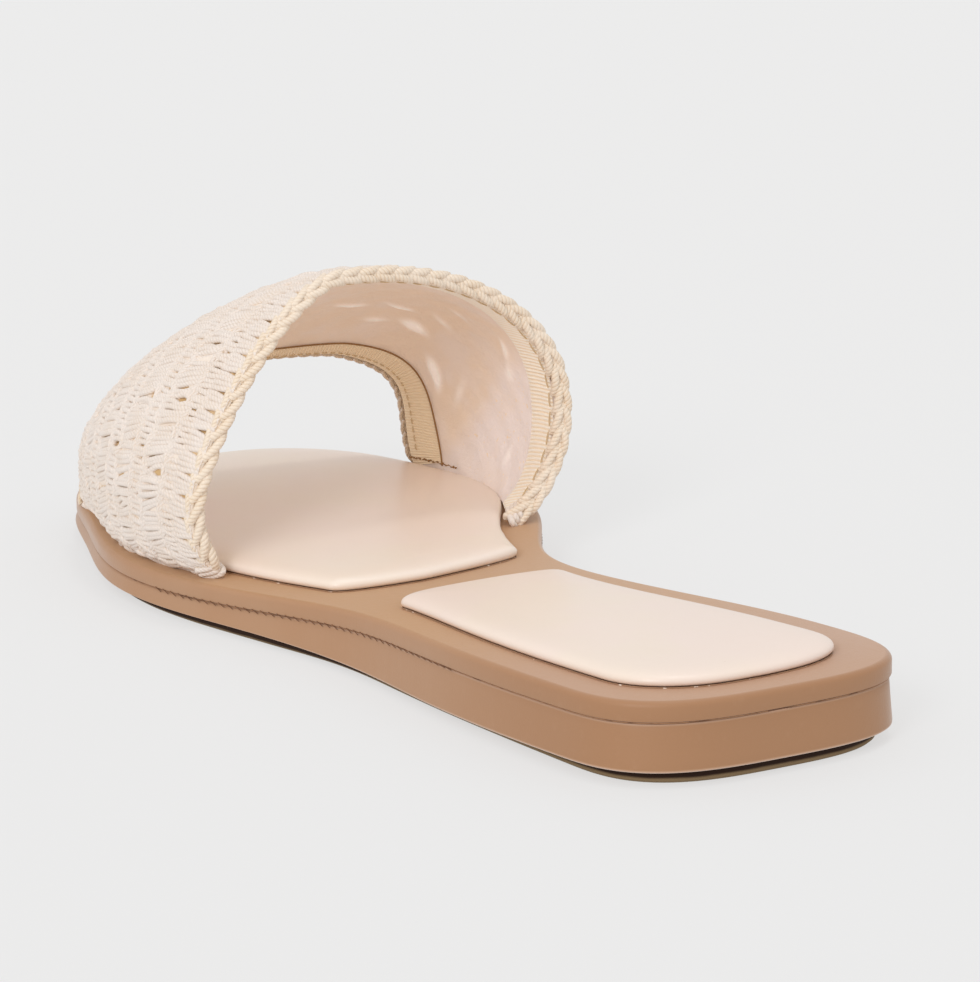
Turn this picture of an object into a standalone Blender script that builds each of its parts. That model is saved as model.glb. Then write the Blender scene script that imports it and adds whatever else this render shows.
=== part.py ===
"""Left slide sandal: a moulded sole with two insole pads and one wide crochet strap.

All sizes are in millimetres. While a piece is worked out, y runs from the back of the heel to the toe,
x to the wearer's right (the medial side of a left shoe) and z up from the floor. A parent empty then
puts the middle of the shoe's footprint on the origin.
"""

from collections import namedtuple

import bmesh
import bpy
import numpy as np

MM = 0.001
GAP = 0.3  # between pieces that are glued or sewn together

LENGTH = 255.0
STATIONS = 40  # steps from heel to toe in every outline

# The rim of the footbed, seen from above.
# share of length, lateral x, medial x
SOLE_PLAN = (
    (0.05, -32.6, 40.1),
    (0.17, -35.4, 36.9),
    (0.29, -35.6, 30.1),
    (0.41, -34.8, 26.2),
    (0.53, -39.9, 33.2),
    (0.65, -46.9, 51.7),
    (0.75, -46.3, 58.0),
    (0.85, -38.7, 52.6),
    (0.97, -37.1, 42.8),
)
# An outline's end: how far its two corners reach in, their roundness, and x of the end's middle
End = namedtuple("End", "lateral medial roundness middle")
HEEL_END = End(26.0, 31.0, 3.1, 4.0)
TOE_END = End(59.0, 35.0, 2.6, 6.0)
LEAST_CORNER = 0.5  # share of a corner that is left when an outline is set in

# Heights of the sole's side, above the floor.
# share of length, top of rim, thickness of frame, bottom of midsole, inset of outsole
SOLE_SIDE = (
    (0.00, 17.6, 4.9, 2.8, 3.2),
    (0.20, 16.4, 4.6, 2.2, 3.9),
    (0.40, 13.8, 4.2, 1.4, 2.3),
    (0.55, 10.6, 3.9, 1.9, 1.0),
    (0.75, 9.3, 3.7, 2.1, 2.8),
    (1.00, 9.3, 3.3, 3.9, 3.2),
)
RIM_ROUND = 1.3
RIM_STEPS = 3
FRAME_CHAMFER = 0.3

OUTSOLE_CHAMFER = 0.5
WAIST_FROM, WAIST_TO, WAIST_RISE = 0.33, 0.53, 0.5
TOE_SPRING_FROM, TOE_SPRING = 0.80, 2.1

# Side of the midsole: share of its height, inset from the rim
MIDSOLE_PROFILE = ((0.0, 0.2), (0.06, -0.25), (0.55, 0.15), (0.94, 0.45), (1.0, 0.8))

# Side of a pad, from the frame up to its crown: height, inset
PAD_PROFILE = ((0.0, 0.5), (0.8, 0.0), (1.7, 0.35), (2.45, 1.9), (3.0, 5.0), (3.3, 10.0))
# The pads' distance from the rim: share of length, lateral, medial
PAD_MARGINS = (
    (0.00, 9.4, 9.6),
    (0.40, 9.4, 9.6),
    (0.47, 10.2, 7.0),
    (0.53, 10.2, 7.4),
    (0.58, 10.4, 10.3),
    (0.63, 10.2, 11.0),
    (0.70, 8.0, 8.0),
    (0.78, 6.9, 6.9),
    (1.00, 6.9, 6.9),
)
HEEL_PAD_Y = (8.0, 104.9)
HEEL_PAD_ENDS = (End(17.0, 17.0, 2.4, 0.0), End(6.0, 6.0, 2.4, -2.0))
FOREFOOT_PAD_Y = (121.3, 245.5)
FOREFOOT_PAD_ENDS = (End(5.0, 5.0, 2.4, -6.0), End(50.0, 29.0, 2.5, 8.0))
FOREFOOT_SLANT = 0.17  # the medial half of the pad's rear edge runs forwards
SLANT_FADE = 24.0

# The strap as arches from rear edge to front edge, at the middle of its wall. Roundness above 2 is boxier.
# lateral x and z where widest, medial x and z, crown x, y, z, lateral roundness, medial roundness
STRAP_ARCHES = (
    (-46.0, 25.6, 53.7, 35.0, -4.0, 163.7, 71.1, 1.6, 2.15),
    (-46.0, 23.5, 55.5, 26.0, 5.0, 195.0, 60.5, 2.1, 2.6),
    (-33.0, 19.4, 48.0, 19.2, 9.5, 221.6, 40.6, 2.2, 3.3),
)
# The feet of the same arches: lateral inset from the rim, lateral y, medial inset, medial y
STRAP_FEET = (
    (5.7, 156.7, 6.5, 160.0),
    (4.0, 190.0, 5.0, 189.0),
    (4.2, 226.0, 4.3, 214.5),
)
STRAP_LEG = 0.14  # share of an arch below its widest level
STRAP_TUCK = np.radians(62.0)
STRAP_LIFT = 1.8  # of a foot's middle above the frame
STRAP_BOW = 2.0  # power of the rise by which an arch moves from its feet to its crown's y
STRAP_WALL = 2.2
CROCHET_ROWS = 11
CROCHET_STITCHES = 30
CROCHET_RELIEF = 1.1
CROCHET_STITCH_LOW = 0.55  # height of the low side of a stitch, as a share of the relief
CROCHET_FADE = 0.06  # share of an arch over which the relief dies out at a foot
CROCHET_GAPS_FROM = 4  # cells from a foot to a row's first gap
CROCHET_GAPS_EVERY = 5  # cells along a row, with each second row staggered
ARCH_SAMPLES = 241

REAR_BRAID_RADIUS = 1.9
FRONT_BRAID_RADIUS = 1.0
BRAID_BEAD = 0.15
BRAID_SIDES = 6
BRAID_STEPS = 56
BRAID_ENDS = 0.015  # share of the edge left bare at each foot
BRAID_AIM = 0.05  # share of the strap whose slope carries the braid out from the edge

REAR_BINDING_WIDTH = 0.085  # share of the strap from edge to edge
FRONT_BINDING_WIDTH = 0.115
BINDING_SET_IN = 0.01
BINDING_THICKNESS = 0.7
BINDING_LINES = 3  # from edge to edge of the tape
BINDING_STEPS = 48
BINDING_ENDS = 0.025

SHARP_EDGE = np.radians(40.0)

# name: colour, roughness
FINISHES = {
    "outsole": ((0.020, 0.019, 0.015), 0.75),
    "midsole": ((0.45, 0.255, 0.145), 0.55),
    "footbed_frame": ((0.47, 0.27, 0.155), 0.5),
    "heel_pad": ((0.83, 0.70, 0.58), 0.4),
    "forefoot_pad": ((0.83, 0.70, 0.58), 0.4),
    "strap": ((0.85, 0.73, 0.60), 0.9),
    "rear_edge_braid": ((0.85, 0.72, 0.58), 0.9),
    "front_edge_braid": ((0.85, 0.72, 0.58), 0.9),
    "rear_binding": ((0.68, 0.50, 0.33), 0.8),
    "front_binding": ((0.68, 0.50, 0.33), 0.8),
}


def spline(knots, values):
    """Natural cubic spline through the knots, as a function of an array."""
    x = np.asarray(knots, float)
    y = np.asarray(values, float)
    step = np.diff(x)
    slope = np.diff(y) / step
    system = np.eye(len(x))
    bend = np.zeros(len(x))
    for i in range(1, len(x) - 1):
        system[i, i - 1 : i + 2] = step[i - 1], 2 * (step[i - 1] + step[i]), step[i]
        bend[i] = 6 * (slope[i] - slope[i - 1])
    curve = np.linalg.solve(system, bend)

    def at(q):
        q = np.asarray(q, float)
        i = np.clip(np.searchsorted(x, q) - 1, 0, len(step) - 1)
        h = step[i]
        a = (x[i + 1] - q) / h
        b = 1 - a
        bow = ((a**3 - a) * curve[i] + (b**3 - b) * curve[i + 1]) * h * h / 6
        return a * y[i] + b * y[i + 1] + bow

    return at


def table_column(table, column):
    """A column of a table whose first column is a share of the length, as a function of y."""
    rows = np.array(table)
    return spline(rows[:, 0] * LENGTH, rows[:, column])


lateral_edge = table_column(SOLE_PLAN, 1)
medial_edge = table_column(SOLE_PLAN, 2)
rim_height = table_column(SOLE_SIDE, 1)
frame_thickness = table_column(SOLE_SIDE, 2)
midsole_bottom = table_column(SOLE_SIDE, 3)
outsole_inset = table_column(SOLE_SIDE, 4)
lateral_margin = table_column(PAD_MARGINS, 1)
medial_margin = table_column(PAD_MARGINS, 2)


def parting_height(y):
    return rim_height(y) - frame_thickness(y)


def outsole_bottom(y):
    """Flat under heel and ball, with a low arch at the waist and a curve up to the toe."""
    share = y / LENGTH
    waist = np.clip((share - WAIST_FROM) / (WAIST_TO - WAIST_FROM), 0, 1)
    toe = np.clip((share - TOE_SPRING_FROM) / (1 - TOE_SPRING_FROM), 0, 1)
    return WAIST_RISE * np.sin(np.pi * waist) ** 2 + TOE_SPRING * toe**2


def corner(depth_in, depth, roundness):
    """Share of the full width at a depth in from an outline's end: a superellipse."""
    t = 1 - np.clip(depth_in / depth, 0, 1)
    return (1 - t**roundness) ** (1 / roundness)


def outline(y_ends, rear, front, lateral, medial, inset=0.0):
    """Closed ring of (x, y) seen from above: heel, medial side, toe, and back by the lateral side."""
    turn = np.linspace(0, np.pi, STATIONS + 1)
    start, stop = y_ends[0] + inset, y_ends[1] - inset
    y = start + (stop - start) * (0.5 - 0.5 * np.cos(turn))
    sides = []
    for side, edge, inwards in (("medial", medial, -1), ("lateral", lateral, 1)):
        x = edge(y) + inwards * inset
        for end, depth_in in ((rear, y - start), (front, stop - y)):
            reach = getattr(end, side)
            depth = max(reach - inset, LEAST_CORNER * reach)
            x = end.middle + (x - end.middle) * corner(depth_in, depth, end.roundness)
        sides.append(np.stack([x, y], axis=1))
    return np.concatenate([sides[0], sides[1][-2:0:-1]])


def sole_ring(inset, height):
    """A ring of the sole's outline, set in by inset, at a height that is a function of y."""
    plan = outline((0, LENGTH), HEEL_END, TOE_END, lateral_edge, medial_edge, inset)
    return np.column_stack([plan, height(plan[:, 1])])


def loft(rings):
    """Closed solid through rings from bottom to top, each end filled by strips from side to side."""
    count = len(rings[0])
    half = count // 2
    faces = []
    for level in range(len(rings) - 1):
        for i in range(count):
            j = (i + 1) % count
            low, high = level * count, (level + 1) * count
            faces.append((low + i, low + j, high + j, high + i))
    across = [(0, 1, count - 1)]
    across += [(i, i + 1, count - i - 1, count - i) for i in range(1, half - 1)]
    across += [(half - 1, half, half + 1)]
    top = (len(rings) - 1) * count
    faces += [tuple(face[::-1]) for face in across]
    faces += [tuple(top + i for i in face) for face in across]
    return np.concatenate(rings), faces


def make_outsole():
    def edge(y):
        return outsole_bottom(y) + OUTSOLE_CHAMFER

    def top(y):
        return midsole_bottom(y) - GAP

    rings = []
    for inset, height in ((OUTSOLE_CHAMFER, outsole_bottom), (0.0, edge), (0.0, top)):
        plan = outline(
            (outsole_inset(0), LENGTH - outsole_inset(LENGTH)),
            HEEL_END,
            TOE_END,
            lambda y: lateral_edge(y) + outsole_inset(y),
            lambda y: medial_edge(y) - outsole_inset(y),
            inset,
        )
        rings.append(np.column_stack([plan, height(plan[:, 1])]))
    return loft(rings)


def make_midsole():
    rings = []
    for share, inset in MIDSOLE_PROFILE:

        def height(y, share=share):
            low = midsole_bottom(y)
            return low + share * (parting_height(y) - GAP / 2 - low)

        rings.append(sole_ring(inset, height))
    return loft(rings)


def make_footbed_frame():
    def bottom(y):
        return parting_height(y) + GAP / 2

    rings = [sole_ring(FRAME_CHAMFER, bottom)]
    rings.append(sole_ring(0.0, lambda y: bottom(y) + FRAME_CHAMFER))
    for angle in np.linspace(0, np.pi / 2, RIM_STEPS + 1):
        inset = RIM_ROUND * (1 - np.cos(angle))
        drop = RIM_ROUND * (1 - np.sin(angle))
        rings.append(sole_ring(inset, lambda y, drop=drop: rim_height(y) - drop))
    return loft(rings)


def make_pad(y_ends, ends, slant):
    """Cushion with a rolled edge, on the frame inside the rim."""
    rings = []
    for height, inset in PAD_PROFILE:
        plan = outline(
            y_ends,
            ends[0],
            ends[1],
            lambda y: lateral_edge(y) + lateral_margin(y),
            lambda y: medial_edge(y) - medial_margin(y),
            inset,
        )
        near_rear = np.clip(1 - (plan[:, 1] - y_ends[0]) / SLANT_FADE, 0, 1)
        plan[:, 1] += slant * near_rear * np.maximum(plan[:, 0] - ends[0].middle, 0)
        rings.append(np.column_stack([plan, rim_height(plan[:, 1]) + GAP + height]))
    return loft(rings)


def make_heel_pad():
    return make_pad(HEEL_PAD_Y, HEEL_PAD_ENDS, 0.0)


def make_forefoot_pad():
    return make_pad(FOREFOOT_PAD_Y, FOREFOOT_PAD_ENDS, FOREFOOT_SLANT)


def strap_arch(share):
    """Middle of the strap's wall over one arch, share 0 at the rear edge and 1 at the front.

    A parabola through the table's three rows gives the arch's sizes. From foot to widest level the leg is
    an arc that tucks under, and above that a superellipse runs over the crown.
    """
    weights = (
        (1 - share) * (1 - 2 * share),
        4 * share * (1 - share),
        share * (2 * share - 1),
    )
    sizes = sum(w * np.array(row) for w, row in zip(weights, STRAP_ARCHES))
    lateral_x, lateral_z, medial_x, medial_z, crown_x, crown_y, crown_z, lateral_n, medial_n = sizes
    foot = sum(w * np.array(row) for w, row in zip(weights, STRAP_FEET))
    feet_x = (lateral_edge(foot[1]) + foot[0], medial_edge(foot[3]) - foot[2])
    feet_z = (
        rim_height(foot[1]) + STRAP_LIFT,
        rim_height(foot[3]) + STRAP_LIFT,
    )

    t = np.linspace(0, 1, ARCH_SAMPLES)
    lateral = t < 0.5
    side_x = np.where(lateral, lateral_x, medial_x)
    widest = np.where(lateral, lateral_z, medial_z)
    foot_x = np.where(lateral, *feet_x)
    foot_z = np.where(lateral, *feet_z)
    turn = np.pi * np.clip((t - STRAP_LEG) / (1 - 2 * STRAP_LEG), 0, 1)
    power = 2 / np.where(lateral, lateral_n, medial_n)
    x = crown_x + (side_x - crown_x) * np.abs(np.cos(turn)) ** power
    z = widest + (crown_z - widest) * np.sin(turn).clip(0) ** power
    down = STRAP_TUCK * np.clip(1 - np.minimum(t, 1 - t) / STRAP_LEG, 0, 1)
    x = x + (foot_x - side_x) * (1 - np.cos(down)) / (1 - np.cos(STRAP_TUCK))
    z = z - (widest - foot_z) * np.sin(down) / np.sin(STRAP_TUCK)
    across = np.clip((x - feet_x[0]) / (feet_x[1] - feet_x[0]), 0, 1)
    foot_y = foot[1] + (foot[3] - foot[1]) * across
    rise = np.clip((z - foot_z) / (crown_z - foot_z), 0, 1) ** STRAP_BOW
    y = foot_y + (crown_y - (foot[1] + foot[3]) / 2) * rise
    return np.column_stack([x, y, z])


def strap_rows(shares, stops):
    """Grid of the strap's middle: shares run from rear to front, stops are shares of an arch's length."""
    rows = []
    for share in shares:
        arch = strap_arch(share)
        steps = np.linalg.norm(np.diff(arch, axis=0), axis=1)
        run = np.concatenate([[0], np.cumsum(steps)])
        points = [np.interp(stops * run[-1], run, arch[:, k]) for k in range(3)]
        rows.append(np.stack(points, axis=1))
    return np.array(rows)


def strap_normals(rows):
    """Outward unit normals of a grid of strap points."""
    along = np.gradient(rows, axis=1)
    forward = np.gradient(rows, axis=0)
    normal = np.cross(along, forward)
    return normal / np.linalg.norm(normal, axis=2, keepdims=True)


def shell(outer, inner, missing=()):
    """Closed wall between two grids of points, with the listed (row, column) cells cut through."""
    rows, columns = outer.shape[:2]
    cut = set(missing)
    below = rows * columns
    faces = []

    def present(j, i):
        return 0 <= j < rows - 1 and 0 <= i < columns - 1 and (j, i) not in cut

    for j in range(rows - 1):
        for i in range(columns - 1):
            if not present(j, i):
                continue
            a = j * columns + i
            ring = (a, a + 1, a + columns + 1, a + columns)
            faces.append(ring)
            faces.append(tuple(below + k for k in ring[::-1]))
            beside = ((j - 1, i), (j, i + 1), (j + 1, i), (j, i - 1))
            for k, cell in enumerate(beside):
                if not present(*cell):
                    p, q = ring[k], ring[(k + 1) % 4]
                    faces.append((q, p, below + p, below + q))
    return np.concatenate([outer.reshape(-1, 3), inner.reshape(-1, 3)]), faces


def make_strap():
    """Crochet wall: each second grid line is a raised row, and gaps are cut beside each second row."""
    shares = np.linspace(0, 1, 2 * CROCHET_ROWS + 1)
    stops = np.linspace(0, 1, 2 * CROCHET_STITCHES + 1)
    middle = strap_rows(shares, stops)
    normal = strap_normals(middle)
    row_high = np.arange(len(shares)) % 2
    stitch_high = np.where(np.arange(len(stops)) % 2, 1, CROCHET_STITCH_LOW)
    fade = np.clip(np.minimum(stops, 1 - stops) / CROCHET_FADE, 0, 1)
    relief = CROCHET_RELIEF * row_high[:, None] * (stitch_high * fade)[None, :]
    outer = middle + normal * (STRAP_WALL / 2 + relief)[..., None]
    inner = middle - normal * (STRAP_WALL / 2)
    gaps = []
    for row in range(1, CROCHET_ROWS, 2):
        first = CROCHET_GAPS_FROM + (row // 2 % 2) * (CROCHET_GAPS_EVERY // 2)
        last = len(stops) - 1 - CROCHET_GAPS_FROM
        gaps += [(2 * row, i) for i in range(first, last, CROCHET_GAPS_EVERY)]
    return shell(outer, inner, gaps)


def make_edge_braid(share, outwards, thickness):
    """Beaded cord along one edge of the strap, just clear of its wall."""
    stops = np.linspace(BRAID_ENDS, 1 - BRAID_ENDS, BRAID_STEPS + 1)
    edge, inside = strap_rows((share, share - outwards * BRAID_AIM), stops)
    forward = edge - inside
    forward /= np.linalg.norm(forward, axis=1, keepdims=True)
    along = np.gradient(edge, axis=0)
    along /= np.linalg.norm(along, axis=1, keepdims=True)
    forward -= along * (forward * along).sum(axis=1, keepdims=True)
    forward /= np.linalg.norm(forward, axis=1, keepdims=True)
    up = np.cross(along, forward)
    centre = edge + forward * (thickness * (1 + BRAID_BEAD) + GAP)
    radius = thickness * (1 + BRAID_BEAD * (np.arange(BRAID_STEPS + 1) % 2))
    angle = np.linspace(0, 2 * np.pi, BRAID_SIDES, endpoint=False)
    rings = centre[:, None] + radius[:, None, None] * (
        np.cos(angle)[None, :, None] * forward[:, None] + np.sin(angle)[None, :, None] * up[:, None]
    )
    faces = []
    for level in range(BRAID_STEPS):
        for i in range(BRAID_SIDES):
            j = (i + 1) % BRAID_SIDES
            a, b = level * BRAID_SIDES, (level + 1) * BRAID_SIDES
            faces.append((a + i, a + j, b + j, b + i))
    last = BRAID_STEPS * BRAID_SIDES
    faces.append(tuple(range(BRAID_SIDES))[::-1])
    faces.append(tuple(last + i for i in range(BRAID_SIDES)))
    return rings.reshape(-1, 3), faces


def make_binding(first, last):
    """Tape against the inside of the strap's wall, along one edge."""
    shares = np.linspace(first, last, BINDING_LINES)
    stops = np.linspace(BINDING_ENDS, 1 - BINDING_ENDS, BINDING_STEPS + 1)
    middle = strap_rows(shares, stops)
    normal = strap_normals(middle)
    face = STRAP_WALL / 2 + GAP
    return shell(middle - normal * face, middle - normal * (face + BINDING_THICKNESS))


def finish(name):
    colour, roughness = FINISHES[name]
    material = bpy.data.materials.new(name)
    material.use_nodes = True
    shader = material.node_tree.nodes["Principled BSDF"]
    shader.inputs["Base Color"].default_value = (*colour, 1)
    shader.inputs["Roughness"].default_value = roughness
    shader.inputs["Metallic"].default_value = 0
    return material


def add_object(name, points, faces, parent):
    mesh = bpy.data.meshes.new(name)
    mesh.from_pydata([tuple(p) for p in points * MM], [], faces)
    shape = bmesh.new()
    shape.from_mesh(mesh)
    bmesh.ops.triangulate(shape, faces=shape.faces)
    bmesh.ops.recalc_face_normals(shape, faces=shape.faces)
    shape.to_mesh(mesh)
    shape.free()
    mesh.shade_smooth()
    mesh.set_sharp_from_angle(angle=SHARP_EDGE)
    mesh.materials.append(finish(name))
    piece = bpy.data.objects.new(name, mesh)
    piece.parent = parent
    bpy.context.scene.collection.objects.link(piece)


for old in list(bpy.data.objects):
    bpy.data.objects.remove(old)

pieces = {
    "outsole": make_outsole(),
    "midsole": make_midsole(),
    "footbed_frame": make_footbed_frame(),
    "heel_pad": make_heel_pad(),
    "forefoot_pad": make_forefoot_pad(),
    "strap": make_strap(),
    "rear_edge_braid": make_edge_braid(0.0, -1, REAR_BRAID_RADIUS),
    "front_edge_braid": make_edge_braid(1.0, 1, FRONT_BRAID_RADIUS),
    "rear_binding": make_binding(BINDING_SET_IN, BINDING_SET_IN + REAR_BINDING_WIDTH),
    "front_binding": make_binding(1 - BINDING_SET_IN - FRONT_BINDING_WIDTH, 1 - BINDING_SET_IN),
}
every_point = np.concatenate([points for points, _ in pieces.values()])
footprint = (every_point.min(axis=0) + every_point.max(axis=0)) / 2
sandal = bpy.data.objects.new("sandal", None)
sandal.location = (-footprint[0] * MM, -footprint[1] * MM, 0)
bpy.context.scene.collection.objects.link(sandal)
for piece_name, (piece_points, piece_faces) in pieces.items():
    add_object(piece_name, piece_points, piece_faces, sandal)
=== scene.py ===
"""Looks of a left slide sandal: a moulded tan sole, two cream insole pads and a wide crochet strap.

Sizes are millimetres in the shoe's own directions: y from the back of the heel to the toe, x to the
wearer's right (the medial side of a left shoe) and z up from the floor. Each finished mesh is moved to
the frame, in metres.
"""

import bpy
import numpy as np
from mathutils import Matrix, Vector


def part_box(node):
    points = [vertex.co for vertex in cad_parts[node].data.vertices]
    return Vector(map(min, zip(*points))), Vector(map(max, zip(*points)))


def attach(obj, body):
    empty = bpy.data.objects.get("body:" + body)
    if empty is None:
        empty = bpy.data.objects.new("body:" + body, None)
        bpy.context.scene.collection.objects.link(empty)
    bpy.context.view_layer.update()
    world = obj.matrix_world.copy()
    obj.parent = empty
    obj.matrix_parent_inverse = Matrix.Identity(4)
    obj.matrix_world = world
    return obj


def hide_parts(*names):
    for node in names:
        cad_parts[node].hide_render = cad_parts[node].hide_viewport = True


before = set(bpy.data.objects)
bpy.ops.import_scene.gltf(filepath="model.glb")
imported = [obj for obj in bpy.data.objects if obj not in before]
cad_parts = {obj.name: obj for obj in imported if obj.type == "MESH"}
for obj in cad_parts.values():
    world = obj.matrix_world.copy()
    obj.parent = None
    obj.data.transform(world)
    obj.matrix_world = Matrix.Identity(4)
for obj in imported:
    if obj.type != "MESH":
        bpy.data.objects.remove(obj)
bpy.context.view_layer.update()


# The outsole is a thin sheet of dark olive rubber, cut a little smaller than the sole above it and glued
# on.
# Shade is painted on it: near-black at the top, under the midsole's overhang. It lies flat under heel and
# ball, lifts a little at the waist and springs up at the toe.

MM = 0.001
LENGTH = 255.0
STATIONS = 180  # steps from heel to toe in every outline

# The rim seen from above: share of length, lateral x, medial x
SOLE_PLAN = (
    (0.05, -32.6, 40.1),
    (0.17, -35.4, 36.9),
    (0.29, -35.6, 30.1),
    (0.41, -34.8, 26.2),
    (0.53, -39.9, 33.2),
    (0.65, -46.9, 51.7),
    (0.75, -46.3, 58.0),
    (0.85, -38.7, 52.6),
    (0.97, -37.1, 42.8),
)
# An outline's end: lateral and medial depth of its corners, their roundness, and x of its middle
HEEL_END = (26.0, 31.0, 3.1, 4.0)
TOE_END = (59.0, 35.0, 2.6, 6.0)
LEAST_CORNER = 0.5  # share of a corner that is left when an outline is set in

# Side of the sole: share of length, top of rim, thickness of frame, bottom of midsole, inset of outsole
SOLE_SIDE = (
    (0.00, 17.6, 4.4, 2.8, 2.1),
    (0.20, 16.4, 4.5, 2.2, 3.4),
    (0.40, 13.8, 4.2, 1.4, 0.9),
    (0.55, 10.6, 3.9, 1.9, 1.0),
    (0.75, 9.3, 3.7, 2.1, 2.8),
    (1.00, 9.3, 3.3, 3.9, 3.2),
)
SEAM = 0.3  # between layers that are glued together
OUTSOLE_CHAMFER = 0.5
WAIST_FROM, WAIST_TO, WAIST_RISE = 0.33, 0.53, 0.3
TOE_SPRING_FROM, TOE_SPRING = 0.80, 2.1
SHARP_EDGE = np.radians(42.0)
# Near-black: painted shade under the midsole's overhang. Olive: the rubber's own colour near the floor
RUBBER_PAINTED_SHADE = (0.026, 0.012, 0.007, 1.0)
RUBBER_OLIVE = (0.210, 0.145, 0.080, 1.0)


def spline(knots, values):
    """Natural cubic spline through the knots, as a function of an array."""
    x = np.asarray(knots, float)
    y = np.asarray(values, float)
    step = np.diff(x)
    slope = np.diff(y) / step
    system = np.eye(len(x))
    bend = np.zeros(len(x))
    for i in range(1, len(x) - 1):
        system[i, i - 1 : i + 2] = step[i - 1], 2 * (step[i - 1] + step[i]), step[i]
        bend[i] = 6 * (slope[i] - slope[i - 1])
    curve = np.linalg.solve(system, bend)

    def at(q):
        q = np.asarray(q, float)
        i = np.clip(np.searchsorted(x, q) - 1, 0, len(step) - 1)
        a = (x[i + 1] - q) / step[i]
        b = 1 - a
        bow = ((a**3 - a) * curve[i] + (b**3 - b) * curve[i + 1]) * step[i] ** 2 / 6
        return a * y[i] + b * y[i + 1] + bow

    return at


def table_column(table, column):
    """A column of a table whose first column is a share of the length, as a function of y."""
    rows = np.array(table)
    return spline(rows[:, 0] * LENGTH, rows[:, column])


lateral_edge = table_column(SOLE_PLAN, 1)
medial_edge = table_column(SOLE_PLAN, 2)
rim_height = table_column(SOLE_SIDE, 1)
frame_thickness = table_column(SOLE_SIDE, 2)
midsole_bottom = table_column(SOLE_SIDE, 3)
outsole_inset = table_column(SOLE_SIDE, 4)

frame_low, frame_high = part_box("footbed_frame")
widest = medial_edge(np.linspace(0, LENGTH, 4 * STATIONS)).max()
SHOE_ORIGIN = np.array([widest - frame_high.x / MM, -frame_low.y / MM, 0.0])


def outsole_bottom(y):
    """Flat, plus a squared sine at the waist and a parabola up to the toe."""
    share = y / LENGTH
    waist = np.clip((share - WAIST_FROM) / (WAIST_TO - WAIST_FROM), 0, 1)
    toe = np.clip((share - TOE_SPRING_FROM) / (1 - TOE_SPRING_FROM), 0, 1)
    return WAIST_RISE * np.sin(np.pi * waist) ** 2 + TOE_SPRING * toe**2


def corner(depth_in, depth, roundness):
    """Share of the full width at a depth in from an outline's end: a superellipse."""
    t = 1 - np.clip(depth_in / depth, 0, 1)
    return (1 - t**roundness) ** (1 / roundness)


def outline(y_ends, rear, front, lateral, medial, inset=0.0):
    """Closed ring of (x, y): the two edges as functions of y, narrowed at each end by its corners."""
    start, stop = y_ends[0] + inset, y_ends[1] - inset
    y = start + (stop - start) * (0.5 - 0.5 * np.cos(np.linspace(0, np.pi, STATIONS + 1)))
    sides = []
    for edge, inwards, side in ((medial, -1, 1), (lateral, 1, 0)):
        x = edge(y) + inwards * inset
        for end, depth_in in ((rear, y - start), (front, stop - y)):
            depth = max(end[side] - inset, LEAST_CORNER * end[side])
            x = end[3] + (x - end[3]) * corner(depth_in, depth, end[2])
        sides.append(np.stack([x, y], axis=1))
    return np.concatenate([sides[0], sides[1][-2:0:-1]])


def sole_ring(inset, height):
    """The sole's outline set in by inset, at a height that is a function of y."""
    plan = outline((0, LENGTH), HEEL_END, TOE_END, lateral_edge, medial_edge, inset)
    return np.column_stack([plan, height(plan[:, 1])])


def loft(rings):
    """Quads between rings from bottom to top, each end closed by strips from side to side."""
    rings = np.asarray(rings)
    levels, count = rings.shape[:2]
    half = count // 2
    low = np.arange(levels - 1)[:, None] * count
    here = np.arange(count)[None, :]
    after = (here + 1) % count
    sides = np.stack([low + here, low + after, low + count + after, low + count + here], axis=-1)
    i = np.arange(1, half - 1)
    strips = np.stack([i, i + 1, count - i - 1, count - i], axis=-1)
    ends = np.array([[0, 1, count - 1], [half - 1, half, half + 1]])
    top = (levels - 1) * count
    faces = sides.reshape(-1, 4).tolist() + strips[:, ::-1].tolist() + ends[:, ::-1].tolist()
    return rings.reshape(-1, 3), faces + (strips + top).tolist() + (ends + top).tolist()


def new_piece(name, points, faces, finish, slot, sharp=SHARP_EDGE):
    """A smooth mesh in the frame's metres, riding on the shoe with its material. The slot is not used."""
    mesh = bpy.data.meshes.new(name)
    mesh.from_pydata((points - SHOE_ORIGIN) * MM, [], faces)
    mesh.shade_smooth()
    mesh.set_sharp_from_angle(angle=sharp)
    mesh.materials.append(finish)
    piece = bpy.data.objects.new(name, mesh)
    bpy.context.scene.collection.objects.link(piece)
    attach(piece, "root")
    return piece


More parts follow.
